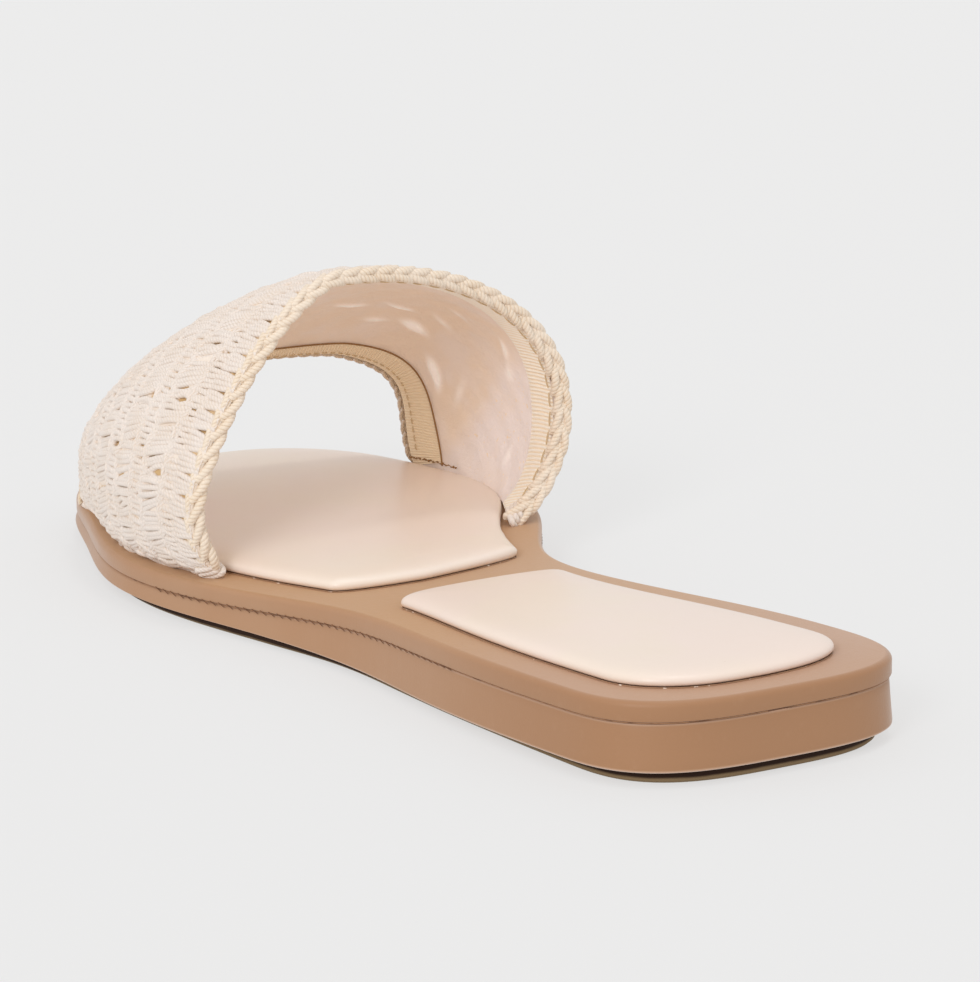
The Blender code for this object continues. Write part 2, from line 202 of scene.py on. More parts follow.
class Shade:
    """A shader socket in a sum: each operator adds a Math node to the same material."""

    def __init__(self, socket):
        self.socket = socket

    def node(self, kind, settings, inputs, output=0):
        """Any other node: its settings, then a value or a link for each input."""
        made = self.socket.id_data.nodes.new(kind)
        for key, value in settings.items():
            setattr(made, key, value)
        for key, value in inputs.items():
            if isinstance(value, Shade):
                self.socket.id_data.links.new(value.socket, made.inputs[key])
            else:
                made.inputs[key].default_value = value
        return Shade(made.outputs[output])

    def maths(self, operation, first, second=0.0):
        return self.node("ShaderNodeMath", {"operation": operation}, {0: first, 1: second})

    def __add__(self, other):
        return self.maths("ADD", self, other)

    def __mul__(self, other):
        return self.maths("MULTIPLY", self, other)

    __radd__ = __add__
    __rmul__ = __mul__

    def noise(self, size, detail=2.0):
        """Noise from 0 to 1 with spots of this size, where this is a position in millimetres."""
        inputs = {"Vector": self, "Scale": 1 / size, "Detail": detail}
        return self.node("ShaderNodeTexNoise", {}, inputs)

    def stretched(self, factors):
        """This vector, multiplied by a factor along each axis."""
        return self.node("ShaderNodeVectorMath", {"operation": "MULTIPLY"}, {0: self, 1: factors})

    def axis(self, index):
        return self.node("ShaderNodeSeparateXYZ", {}, {0: self}, output=index)

    def attribute(self, name):
        """The value that the mesh carries under this name."""
        return self.node("ShaderNodeAttribute", {"attribute_name": name}, {}, output=2)

    def rise(self, low, high):
        """0 below low, 1 above high, and smooth between them."""
        inputs = {"Value": self, "From Min": low, "From Max": high}
        return self.node("ShaderNodeMapRange", {"interpolation_type": "SMOOTHSTEP"}, inputs)

    def mix(self, low, high):
        """Colour from low to high as this value goes from 0 to 1."""
        return self.node("ShaderNodeMix", {"data_type": "RGBA"}, {0: self, 6: low, 7: high}, output=2)

    def bump(self, distance):
        """Normals of a relief whose full height is this many millimetres."""
        return self.node("ShaderNodeBump", {}, {"Height": self, "Distance": distance * MM})


def new_finish(name, constants):
    """A Principled material with constants on its own sockets, and its position in millimetres."""
    material = bpy.data.materials.new(name)
    material.use_nodes = True
    shader = material.node_tree.nodes["Principled BSDF"]
    for socket, value in constants.items():
        shader.inputs[socket].default_value = value
    coordinates = material.node_tree.nodes.new("ShaderNodeTexCoord")
    position = Shade(coordinates.outputs["Object"]).stretched((1 / MM,) * 3)

    def feed(**values):
        for socket, value in values.items():
            material.node_tree.links.new(value.socket, shader.inputs[socket.replace("_", " ")])

    return material, position, feed


rubber, position, feed = new_finish("outsole_rubber", {"Specular IOR Level": 0.1})
# Painted shade: near-black up under the midsole's overhang, the rubber's own olive only near the floor
height = position.axis(2) + 0.004 * position.axis(1) + 0.5 * position.noise(9.0, 4.0)
below_painted_shade = height.rise(1.1, 0.5)
feed(
    Base_Color=below_painted_shade.mix(RUBBER_PAINTED_SHADE, RUBBER_OLIVE),
    Roughness=0.62 + 0.2 * below_painted_shade,
    Normal=(position.noise(0.6, 3.0) + 0.6 * position.noise(2.4)).bump(0.12),
)


def outsole_ring(inset, height):
    """The sole's outline drawn in by the outsole's own inset, which changes along the shoe."""
    plan = outline(
        (outsole_inset(0), LENGTH - outsole_inset(LENGTH)),
        HEEL_END,
        TOE_END,
        lambda y: lateral_edge(y) + outsole_inset(y),
        lambda y: medial_edge(y) - outsole_inset(y),
        inset,
    )
    return np.column_stack([plan, height(plan[:, 1])])


outsole_rings = [
    outsole_ring(OUTSOLE_CHAMFER, outsole_bottom),
    outsole_ring(0.0, lambda y: outsole_bottom(y) + OUTSOLE_CHAMFER),
    outsole_ring(0.0, lambda y: midsole_bottom(y) - SEAM),
]
outsole = new_piece("outsole_sheet", *loft(outsole_rings), rubber, "outsole_rubber")
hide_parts("outsole")


# The midsole is a moulded tan wedge, high at the heel and thin at the toe. Its side leans out slightly
# to a small rolled lip at the bottom, with a painted highlight on it and a painted pale line just below
# the parting line.

# Share of the side's height, inset from the rim
MIDSOLE_PROFILE = (
    (0.0, 0.45),
    (0.012, 0.05),
    (0.035, -0.22),
    (0.075, -0.25),
    (0.30, -0.05),
    (0.55, 0.15),
    (0.80, 0.33),
    (0.94, 0.45),
    (0.985, 0.62),
    (1.0, 0.95),
)
TAN = (0.440, 0.250, 0.140, 1.0)
TAN_WARM = (0.425, 0.230, 0.121, 1.0)
TAN_PALE = (0.465, 0.272, 0.158, 1.0)
# Painted shade: the tan sides darken to this towards the back of the heel
TAN_HEEL_PAINTED_SHADE = (0.378, 0.195, 0.096, 1.0)
TAN_PAINTED_HIGHLIGHT = (0.660, 0.460, 0.340, 1.0)  # painted highlight, along the lip and below the parting line
MIDSOLE_PAINTED_HIGHLIGHT = (1.0, 1.0, 0.6, 0.0, 0.0, 0.0, 0.0, 0.0, 0.5, 0.5)  # painted highlight: how pale each level is


def set_values(piece, name, values):
    """Values at a piece's points, for its material to read."""
    piece.data.attributes.new(name, "FLOAT", "POINT").data.foreach_set("value", values)


def ring_painted_light(piece, painted_light_shares):
    """Painted light that the tan reads: one value for each ring of a lofted piece."""
    set_values(piece, "painted_light", np.repeat(painted_light_shares, len(piece.data.vertices) // len(painted_light_shares)))


def tan_finish(name, painted_light_colour, painted_light_heel_colour):
    """Satin moulded polyurethane: cloudy tan, fine pebble grain, faint streaks from trimming, painted shade
    and light.
    """
    sockets = {"Specular IOR Level": 0.4, "Sheen Weight": 0.4, "Sheen Roughness": 0.35}
    material, position, feed = new_finish(name, sockets)
    cloud = position.noise(38.0, 3.0).rise(0.35, 0.68)
    # Painted shade towards the heel; there the painted light also takes its heel colour
    heel = position.axis(1).rise(-35.0, -105.0)
    fleck = position.noise(2.2, 4.0).rise(0.56, 0.78)
    streak = position.stretched((1, 1, 0.12)).noise(1.5, 3.0)
    # Painted light: near 1 on rings that carry a painted highlight or a lit top
    painted_light = position.attribute("painted_light")
    tan = heel.mix(cloud.mix(TAN_WARM, TAN), TAN_HEEL_PAINTED_SHADE)
    feed(
        Base_Color=painted_light.mix((0.12 * fleck).mix(tan, TAN_PALE), heel.mix(painted_light_colour, painted_light_heel_colour)),
        Roughness=0.43 + 0.12 * streak,
        Normal=(position.noise(0.45, 2.0) + 0.5 * streak).bump(0.035),
    )
    return material


def parting_height(y):
    return rim_height(y) - frame_thickness(y)


def midsole_level(share):
    """Height at a share of the way from the midsole's bottom up to the parting line."""

    def height(y):
        low = midsole_bottom(y)
        return low + share * (parting_height(y) - SEAM / 2 - low)

    return height


# Painted highlight on the midsole's lip and in a pale line just below the parting line
midsole_tan = tan_finish("midsole_tan", TAN_PAINTED_HIGHLIGHT, TAN_PAINTED_HIGHLIGHT)
midsole_rings = [sole_ring(inset, midsole_level(share)) for share, inset in MIDSOLE_PROFILE]
midsole = new_piece("midsole_wedge", *loft(midsole_rings), midsole_tan, "sole_tan")
ring_painted_light(midsole, MIDSOLE_PAINTED_HIGHLIGHT)
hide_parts("midsole")


# The footbed frame is the tan upper layer that the pads and the strap stand on. Its rim is rounded over
# and overhangs the midsole at the parting line. Light is painted on the rounding and the top, with a
# painted pink reflection towards the heel.

RIM_ROUND = 1.3
RIM_STEPS = 7
FRAME_CHAMFER = 0.3
# Painted light on the frame's top, and towards the heel a pinker copy: a painted reflection of the sky
TAN_TOP_PAINTED_LIGHT = (0.500, 0.268, 0.112, 1.0)
TAN_TOP_HEEL_PAINTED_REFLECTION = (0.490, 0.282, 0.168, 1.0)

frame_tan = tan_finish("footbed_tan", TAN_TOP_PAINTED_LIGHT, TAN_TOP_HEEL_PAINTED_REFLECTION)
frame_rings = [
    sole_ring(FRAME_CHAMFER, lambda y: parting_height(y) + SEAM / 2),
    sole_ring(0.08, lambda y: parting_height(y) + SEAM / 2 + 0.1),
    sole_ring(0.0, lambda y: parting_height(y) + SEAM / 2 + FRAME_CHAMFER),
]
for angle in np.linspace(0, np.pi / 2, RIM_STEPS + 1):
    drop = RIM_ROUND * (1 - np.sin(angle))
    rim = sole_ring(RIM_ROUND * (1 - np.cos(angle)), lambda y: rim_height(y) - drop)
    frame_rings.append(rim)
footbed_frame = new_piece("footbed_frame_rim", *loft(frame_rings), frame_tan, "sole_tan")
# Painted light grows over the rim's rounding up to the top
ring_painted_light(footbed_frame, [0.0] * 3 + list(np.linspace(0, 1, RIM_STEPS + 1) ** 4))
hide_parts("footbed_frame")


# Frame and midsole are sewn together at the parting line. A brown thread lies in the groove all round,
# and along the waist and the forefoot it shows as slanted stitches on the outside.

THREAD_BROWN = (0.195, 0.088, 0.041, 1.0)
THREAD_ORANGE = (0.400, 0.205, 0.105, 1.0)
THREAD_RADIUS = 0.1
THREAD_INSET = 0.30
STITCH_PITCH, STITCH_REACH, STITCH_DROP = 2.6, 1.9, 0.8
STITCH_OUT = 0.02
STITCH_POINTS = 6
LEAST_SLANT = 0.25  # share of the drop that is left where the stitches start
SEWN_FROM, SEWN_FULL, SEWN_TO = 62.0, 100.0, 168.0  # y where the stitches start, are full and end
UP = np.array([0.0, 0.0, 1.0])
YARN_SIDES = 8
YARN_PLIES = 3
PLY_PITCH = 0.95  # along the yarn, from one ply to the next
NO_CREASE = np.radians(80.0)
chance = np.random.default_rng(11)


def unit(vectors):
    """Vectors scaled to a length of one."""
    return vectors / np.linalg.norm(vectors, axis=-1, keepdims=True)


def yarn(paths, up, radius, sides=YARN_SIDES, groove=0.0):
    """Tubes along paths (strand, point, xyz): rings that dip between the plies winding round them.

    Each corner's UV is the length run, counted in plies, and the share of the way round.
    """
    ahead = np.gradient(paths, axis=1)
    step = np.linalg.norm(ahead, axis=2, keepdims=True)
    ahead = ahead / step
    side = unit(np.cross(ahead, up))
    over = np.cross(side, ahead)
    strands, count = paths.shape[:2]
    run = np.cumsum(step[..., 0], axis=1) / PLY_PITCH + chance.uniform(0, 1, (strands, 1))
    around = np.arange(sides) / sides
    ply = np.abs(np.sin(np.pi * (run[..., None] + YARN_PLIES * around)))
    reach = radius * (1 - groove * (1 - ply))
    angle = 2 * np.pi * around[:, None]
    ring = side[:, :, None] * np.cos(angle) + over[:, :, None] * np.sin(angle)
    points = paths[:, :, None] + reach[..., None] * ring
    s, j, i = np.meshgrid(np.arange(strands), np.arange(count - 1), np.arange(sides), indexing="ij")
    low = (s * count + j) * sides
    after = (i + 1) % sides
    quads = np.stack([low + i, low + sides + i, low + sides + after, low + after], axis=-1)
    u = np.stack([run[s, j], run[s, j + 1], run[s, j + 1], run[s, j]], axis=-1)
    v = np.stack([i, i, i + 1, i + 1], axis=-1) / sides
    first = np.arange(strands)[:, None] * count * sides
    last = first + count * sides - 1
    ends = np.concatenate([first + np.arange(sides), last - np.arange(sides)])
    return points.reshape(-1, 3), quads.reshape(-1, 4), ends, np.stack([u, v], axis=-1).reshape(-1, 2)


def yarn_piece(name, bundles, finish, slot="crochet_yarn"):
    """One piece from bundles of yarn, with the map of plies that its material reads."""
    starts = np.cumsum([0] + [len(points) for points, _, _, _ in bundles])
    points = np.concatenate([bundle[0] for bundle in bundles])
    quads = np.concatenate([bundle[1] + start for bundle, start in zip(bundles, starts)])
    faces = quads.tolist()
    for (_, _, ends, _), start in zip(bundles, starts):
        faces += (ends + start).tolist()
    piece = new_piece(name, points, faces, finish, slot, NO_CREASE)
    plies = np.zeros((len(piece.data.loops), 2))
    plies[: quads.size] = np.concatenate([bundle[3] for bundle in bundles])
    piece.data.uv_layers.new(name="ply").data.foreach_set("uv", plies.ravel())
    return piece


def along_ring(ring, run):
    """Points at distances along a closed ring."""
    closed = np.concatenate([ring, ring[:1]])
    marks = np.concatenate([[0], np.cumsum(np.linalg.norm(np.diff(closed, axis=0), axis=1))])
    return np.stack([np.interp(run, marks, closed[:, k]) for k in range(3)], axis=-1)


brown_thread, _, _ = new_finish("brown_thread", {"Base Color": THREAD_BROWN, "Roughness": 0.75})
worn_thread, position, feed = new_finish("worn_thread", {"Roughness": 0.75})
feed(Base_Color=position.noise(4.0, 3.0).rise(0.48, 0.66).mix(THREAD_ORANGE, THREAD_BROWN))
groove = sole_ring(THREAD_INSET, parting_height)
thread_run = np.linspace(0, np.linalg.norm(np.diff(groove, axis=0), axis=1).sum(), 4 * STATIONS)[None, :]
groove_thread = yarn(along_ring(groove, thread_run), UP, THREAD_RADIUS)
wall = sole_ring(-STITCH_OUT, parting_height)
stitch_at = np.arange(0, thread_run.max(), STITCH_PITCH)
stitch_y = along_ring(wall, stitch_at)[:, 1]
stitch_at = stitch_at[(stitch_y > SEWN_FROM) & (stitch_y < SEWN_TO)]
t = np.linspace(-0.5, 0.5, STITCH_POINTS)
stitch_paths = along_ring(wall, stitch_at[:, None] + STITCH_REACH * t)
fullness = np.clip((stitch_paths[..., 1] - SEWN_FROM) / (SEWN_FULL - SEWN_FROM), LEAST_SLANT, 1)
stitch_paths[..., 2] -= STITCH_DROP * fullness * t
parting_stitches = yarn(stitch_paths, UP, THREAD_RADIUS)
yarn_piece("parting_thread", [groove_thread], worn_thread, "sole_tan")
yarn_piece("parting_stitches", [parting_stitches], brown_thread, "sole_tan")


# The pads are foam wrapped in smooth cream leather, with a rolled edge, glued on the frame inside the
# rim: one under the heel and one under the forefoot, which runs on below the strap.

# Side of a pad up to its crown: height above the frame, inset
PAD_PROFILE = (
    (0.0, 0.75),
    (0.15, 0.40),
    (0.4, 0.14),
    (0.8, 0.0),
    (1.2, 0.05),
    (1.55, 0.22),
    (1.85, 0.52),
    (2.1, 0.92),
    (2.33, 1.45),
    (2.53, 2.1),
    (2.72, 2.95),
    (2.88, 4.0),
    (3.02, 5.2),
    (3.14, 6.6),
    (3.24, 8.2),
    (3.32, 10.0),
)
PAD_CROWN = 0.45
PAD_TOP_RINGS = 12
PAD_TOP_LEFT = 0.05  # share of the last ring's half width that the closing strips span
# The pads' distance from the rim: share of length, lateral, medial
PAD_MARGINS = (
    (0.00, 9.4, 9.6),
    (0.40, 9.4, 9.6),
    (0.47, 10.2, 7.0),
    (0.53, 10.2, 7.4),
    (0.58, 10.4, 10.3),
    (0.63, 10.2, 11.0),
    (0.70, 8.0, 8.0),
    (0.78, 6.9, 6.9),
    (1.00, 6.9, 6.9),
)
HEEL_PAD_Y = (8.0, 104.9)
HEEL_PAD_ENDS = ((17.0, 17.0, 2.4, 0.0), (6.0, 6.0, 2.4, -2.0))
FOREFOOT_PAD_Y = (121.3, 245.5)
FOREFOOT_PAD_ENDS = ((5.0, 5.0, 2.4, -6.0), (50.0, 29.0, 2.5, 8.0))
FOREFOOT_SLANT, SLANT_FADE = 0.17, 24.0
HEEL_CREAM = ((0.848, 0.728, 0.624, 1.0), (0.852, 0.718, 0.640, 1.0))
# The forefoot pad is the same leather as the heel pad, painted lighter to lift the shade under the strap
FOREFOOT_CREAM_PAINTED_LIGHT = ((0.895, 0.780, 0.672, 1.0), (0.900, 0.770, 0.688, 1.0))
CREAM_SPECK = (0.62, 0.47, 0.34, 1.0)
GLUE_INSET, GLUE_RADIUS, GLUE_HEIGHT = 0.25, 0.17, 0.1
GLUE_UNEVEN = (0.6, 1.2)  # shares of the radius
GLUE_BROWN = (0.350, 0.190, 0.105, 1.0)
GLUE_WHITE = (0.900, 0.800, 0.700, 1.0)


def leather_finish(name, cream, pink):
    """Smooth cream leather: warm clouds, a few faint specks, fine pores and a soft glaze."""
    sockets = {"Specular IOR Level": 0.5, "Coat Roughness": 0.22, "Coat Weight": 0.25}
    material, position, feed = new_finish(name, sockets)
    cloud = position.noise(30.0, 2.0).rise(0.35, 0.65)
    speck = position.noise(1.1, 1.0).rise(0.80, 0.86)
    feed(
        Base_Color=(0.5 * speck).mix(cloud.mix(cream, pink), CREAM_SPECK),
        Roughness=0.34 + 0.12 * position.noise(4.0, 3.0),
        Normal=(position.noise(0.55, 2.0) + 2.0 * position.noise(7.0)).bump(0.03),
    )
    return material


lateral_margin = table_column(PAD_MARGINS, 1)
medial_margin = table_column(PAD_MARGINS, 2)


def pad_ring(y_ends, ends, slant, inset):
    """A pad's outline from above, its rear edge slanted forwards on the medial half."""
    plan = outline(
        y_ends,
        ends[0],
        ends[1],
        lambda y: lateral_edge(y) + lateral_margin(y),
        lambda y: medial_edge(y) - medial_margin(y),
        inset,
    )
    near_rear = np.clip(1 - (plan[:, 1] - y_ends[0]) / SLANT_FADE, 0, 1)
    plan[:, 1] += slant * near_rear * np.maximum(plan[:, 0] - ends[0][3], 0)
    return plan


def pad_rings(y_ends, ends, slant):
    """Rings up the rolled edge, then rings that shrink to the long axis while a parabola crowns them."""
    rings = []
    for height, inset in PAD_PROFILE:
        plan = pad_ring(y_ends, ends, slant, inset)
        rings.append(np.column_stack([plan, rim_height(plan[:, 1]) + SEAM + height]))
    last = rings[-1]
    mirror = (-np.arange(len(last))) % len(last)
    axis = (last + last[mirror]) / 2
    start, stop = last[:, 1].min(), last[:, 1].max()
    along = 1 - np.abs(2 * (last[:, 1] - start) / (stop - start) - 1) ** 4
    for share in np.linspace(0, 1 - PAD_TOP_LEFT, PAD_TOP_RINGS + 1)[1:]:
        ring = last + (axis - last) * share
        ring[:, 2] += PAD_CROWN * (1 - (1 - share) ** 2) * along
        rings.append(ring)
    return rings


def glue_line(y_ends, ends, slant):
    """The uneven brown bead of glue that shows below a pad's rolled edge."""
    plan = pad_ring(y_ends, ends, slant, GLUE_INSET)
    ring = np.column_stack([plan, rim_height(plan[:, 1]) + GLUE_HEIGHT])
    ring = np.concatenate([ring, ring[:1]])
    radius = GLUE_RADIUS * chance.uniform(*GLUE_UNEVEN, (len(ring), 1))
    return yarn(ring[None], UP, radius)


heel_leather = leather_finish("heel_pad_leather", *HEEL_CREAM)
heel_rings = pad_rings(HEEL_PAD_Y, HEEL_PAD_ENDS, 0.0)
heel_pad = new_piece("heel_pad_cushion", *loft(heel_rings), heel_leather, "pad_leather")
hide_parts("heel_pad")

forefoot_leather = leather_finish("forefoot_pad_leather", *FOREFOOT_CREAM_PAINTED_LIGHT)
forefoot_rings = pad_rings(FOREFOOT_PAD_Y, FOREFOOT_PAD_ENDS, FOREFOOT_SLANT)
forefoot_pad = new_piece("forefoot_pad_cushion", *loft(forefoot_rings), forefoot_leather, "pad_leather")
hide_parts("forefoot_pad")

glue_lines = [
    glue_line(HEEL_PAD_Y, HEEL_PAD_ENDS, 0.0),
    glue_line(FOREFOOT_PAD_Y, FOREFOOT_PAD_ENDS, FOREFOOT_SLANT),
]
glue, position, feed = new_finish("pad_glue", {"Roughness": 0.5})
feed(Base_Color=position.noise(1.6, 2.0).rise(0.63, 0.73).mix(GLUE_BROWN, GLUE_WHITE))
yarn_piece("pad_glue_lines", glue_lines, glue, "pad_leather")


# The lining is a piece of beige satin inside the strap, tacked along its edges, so that it puckers.
# Highlights are painted on the puckers, and a faint glow is painted over it for light through the
# crochet. It turns pink towards the medial foot, behind a slanted crease.

# Arches from rear to front: lateral x and z where widest, medial x and z, crown x, y, z, two roundnesses
STRAP_ARCHES = (
    (-46.0, 25.6, 53.7, 35.0, -4.0, 163.7, 71.1, 1.6, 2.15),
    (-46.0, 23.5, 55.5, 26.0, 5.0, 195.0, 60.5, 2.1, 2.6),
    (-33.0, 19.4, 48.0, 19.2, 9.5, 221.6, 40.6, 2.2, 3.3),
)
# Feet of the same arches: lateral inset from the rim, lateral y, medial inset, medial y
STRAP_FEET = (
    (5.7, 156.7, 6.5, 160.0),
    (4.0, 190.0, 5.0, 189.0),
    (4.2, 226.0, 4.3, 214.5),
)
STRAP_LEG = 0.14
STRAP_TUCK = np.radians(62.0)
STRAP_LIFT = 1.8
STRAP_BOW = 2.0
STRAP_WIDTH = 66.0  # from rear edge to front edge, for turning millimetres into a share
OVERHANG = 0.13  # share of the strap by which its surface is carried on past each edge
FOOT_TUCK = 0.012  # share of an arch by which it is carried straight on at each foot
ARCH_COUNT, STOP_COUNT = 117, 501
FOOT_REACH = 5.0
# The worn strap gapes a little: shares by which its edges stand out, rear lateral and front medial
REAR_GAPE, FRONT_GAPE = 0.038, 0.032
REAR_GAPE_TO, FRONT_GAPE_FROM = 0.62, 0.66  # shares along the arch

LINING_IN = 1.25  # from the middle of the strap's wall
LINING_ENDS = (-FOOT_TUCK, 1 + FOOT_TUCK)
LINING_EDGES = (0.0, 0.985)
LINING_GRID = (100, 260)
# Puckers: share along the arch, share across, half length, half width, height, turn in degrees
PUCKERS = (
    (0.600, 0.625, 4.5, 1.3, 0.8, 0.0),
    (0.675, 0.588, 4.5, 1.0, 0.8, 8.0),
    (0.669, 0.738, 3.5, 1.6, 0.6, -5.0),
    (0.731, 0.700, 4.5, 2.0, 1.0, 12.0),
    (0.745, 0.560, 4.5, 1.6, 0.5, 20.0),
    (0.735, 0.420, 3.5, 1.0, 0.5, 10.0),
    (0.834, 0.802, 4.5, 1.6, 1.2, 8.0),
    (0.875, 0.700, 4.5, 1.6, 0.45, 40.0),
    (0.800, 0.300, 4.0, 1.6, 0.6, 20.0),
    (0.840, 0.340, 3.0, 2.2, 0.5, 35.0),
    (0.912, 0.630, 10.0, 1.0, 0.18, 52.0),
    (0.955, 0.380, 4.0, 1.6, 0.45, 30.0),
    (0.430, 0.500, 5.0, 1.6, 0.7, -15.0),
    (0.330, 0.620, 5.0, 1.8, 0.8, -25.0),
    (0.240, 0.420, 4.0, 1.6, 0.6, 20.0),
    (0.140, 0.600, 5.0, 1.8, 0.6, -40.0),
)
RIPPLE = 0.22
SATIN = (0.745, 0.575, 0.425, 1.0)
SATIN_PINK = (0.752, 0.665, 0.645, 1.0)
SATIN_PAINTED_HIGHLIGHT = (1.000, 0.940, 0.900, 1.0)
SATIN_GOLD = (0.780, 0.600, 0.400, 1.0)
LIGHT_THROUGH = (1.0, 0.83, 0.71, 1.0)  # painted glow, for the daylight that comes through the crochet


def blend_rows(table, share):
    """Each column of a three-row table, on the parabola through its rows."""
    rows = np.array(table)[:, :, None, None]
    return (
        rows[0] * (1 - share) * (1 - 2 * share)
        + rows[1] * 4 * share * (1 - share)
        + rows[2] * share * (2 * share - 1)
    )


def strap_arches(share, t):
    """Middle of the strap's wall: a leg that tucks under in an arc, then a superellipse over the crown."""
    sizes = blend_rows(STRAP_ARCHES, share)
    lateral_x, lateral_z, medial_x, medial_z, crown_x, crown_y, crown_z, lateral_n, medial_n = sizes
    lateral_in, lateral_y, medial_in, medial_y = blend_rows(STRAP_FEET, share)
    lateral_foot = lateral_edge(lateral_y) + lateral_in
    medial_foot = medial_edge(medial_y) - medial_in
    lateral = t < 0.5
    side_x = np.where(lateral, lateral_x, medial_x)
    widest_z = np.where(lateral, lateral_z, medial_z)
    foot_x = np.where(lateral, lateral_foot, medial_foot)
    foot_z = np.where(lateral, rim_height(lateral_y), rim_height(medial_y)) + STRAP_LIFT
    turn = np.pi * np.clip((t - STRAP_LEG) / (1 - 2 * STRAP_LEG), 0, 1)
    power = 2 / np.where(lateral, lateral_n, medial_n)
    x = crown_x + (side_x - crown_x) * np.abs(np.cos(turn)) ** power
    z = widest_z + (crown_z - widest_z) * np.sin(turn).clip(0) ** power
    down = STRAP_TUCK * np.clip(1 - np.minimum(t, 1 - t) / STRAP_LEG, 0, 1)
    x = x + (foot_x - side_x) * (1 - np.cos(down)) / (1 - np.cos(STRAP_TUCK))
    z = z - (widest_z - foot_z) * np.sin(down) / np.sin(STRAP_TUCK)
    over = np.clip((x - lateral_foot) / (medial_foot - lateral_foot), 0, 1)
    rise = np.clip((z - foot_z) / (crown_z - foot_z), 0, 1) ** STRAP_BOW
    y = lateral_y + (medial_y - lateral_y) * over + (crown_y - (lateral_y + medial_y) / 2) * rise
    return np.stack([x, y, z], axis=-1)


def even_steps(arch):
    """The same arch, carried straight on at its feet, at equal steps of its length, and that length."""
    steps = np.diff(arch, axis=0)
    sizes = np.linalg.norm(steps, axis=1)
    before = arch[0] - steps[0] * FOOT_REACH / sizes[0]
    after = arch[-1] + steps[-1] * FOOT_REACH / sizes[-1]
    longer = np.concatenate([[before], arch, [after]])
    run = np.concatenate([[-FOOT_REACH, 0], np.cumsum(sizes), [sizes.sum() + FOOT_REACH]])
    stops = np.linspace(-FOOT_TUCK, 1 + FOOT_TUCK, STOP_COUNT) * sizes.sum()
    return np.stack([np.interp(stops, run, longer[:, k]) for k in range(3)], axis=1), sizes.sum()


shares = np.linspace(-OVERHANG, 1 + OVERHANG, ARCH_COUNT)
arches = strap_arches(shares[:, None], np.linspace(0, 1, 2 * STOP_COUNT)[None, :])
evened = [even_steps(arch) for arch in arches]
strap_middle = np.array([points for points, _ in evened])
arch_lengths = np.array([length for _, length in evened])
strap_out = unit(np.cross(np.gradient(strap_middle, axis=1), np.gradient(strap_middle, axis=0)))


def read_grid(grid, along, across):
    """Value of a strap grid between its points, by how far along the arch and across from rear to front."""
    column = np.clip((along + FOOT_TUCK) / (1 + 2 * FOOT_TUCK), 0, 1) * (STOP_COUNT - 1)
    row = np.clip((across + OVERHANG) / (1 + 2 * OVERHANG), 0, 1) * (ARCH_COUNT - 1)
    i = np.minimum(column.astype(int), STOP_COUNT - 2)
    j = np.minimum(row.astype(int), ARCH_COUNT - 2)
    a = (column - i)[..., None]
    b = (row - j)[..., None]
    near = grid[j, i] * (1 - a) + grid[j, i + 1] * a
    far = grid[j + 1, i] * (1 - a) + grid[j + 1, i + 1] * a
    return near * (1 - b) + far * b


def gaping(along, across):
    """Share across, stretched by half sines: lateral at the rear edge, medial at the front edge."""
    lateral = np.sin(np.pi * np.clip(along / REAR_GAPE_TO, 0, 1))
    medial = np.sin(np.pi * np.clip((along - FRONT_GAPE_FROM) / (1 - FRONT_GAPE_FROM), 0, 1))
    rear = REAR_GAPE * lateral * np.clip(1 - across / 0.6, 0, 1.2)
    front = FRONT_GAPE * medial * np.clip(across / 0.4 - 1.5, 0, 1.2)
    return across - rear + front


def on_strap(along, across, out):
    """Point on the strap, out from the middle of its wall by a distance."""
    along, across, out = np.broadcast_arrays(along, gaping(along, across), out)
    return read_grid(strap_middle, along, across) + read_grid(strap_out, along, across) * out[..., None]


def arch_length(across):
    return np.interp(across, shares, arch_lengths)


def grid_faces(rows, columns, first=0):
    """Quads of a grid of points, facing the side from which rows go up as columns go right."""
    j, i = np.meshgrid(np.arange(rows - 1), np.arange(columns - 1), indexing="ij")
    a = (first + j * columns + i).ravel()
    return np.stack([a, a + 1, a + columns + 1, a + columns], axis=-1)


def pucker_bells(along, across):
    """Height of the puckers, each a bell that is long one way and narrow the other."""
    relief = np.zeros(np.broadcast(along, across).shape)
    length = arch_length(across)
    for at, over, half_length, half_width, height, turn in PUCKERS:
        p = (along - at) * length
        q = (across - over) * STRAP_WIDTH
        c, s = np.cos(np.radians(turn)), np.sin(np.radians(turn))
        bell = ((p * c + q * s) / half_length) ** 2 + ((q * c - p * s) / half_width) ** 2
        relief += height * np.exp(-bell)
    return relief


# The satin glows faintly: painted light for the daylight that comes through the crochet
satin, position, feed = new_finish(
    "lining_satin",
    {
        "Specular IOR Level": 0.6,
        "Sheen Weight": 0.25,
        "Sheen Roughness": 0.4,
        "Emission Color": LIGHT_THROUGH,
        "Emission Strength": 0.13,
    },
)
behind_crease = (1.07 * position.axis(1) + position.axis(2)).rise(103.0, 93.0)
pink = behind_crease * position.axis(2).rise(54.0, 38.0)
blush = 0.45 * position.noise(14.0, 3.0).rise(0.40, 0.66) + 0.75 * pink
speck = pink * position.noise(0.9, 1.0).rise(0.66, 0.76)
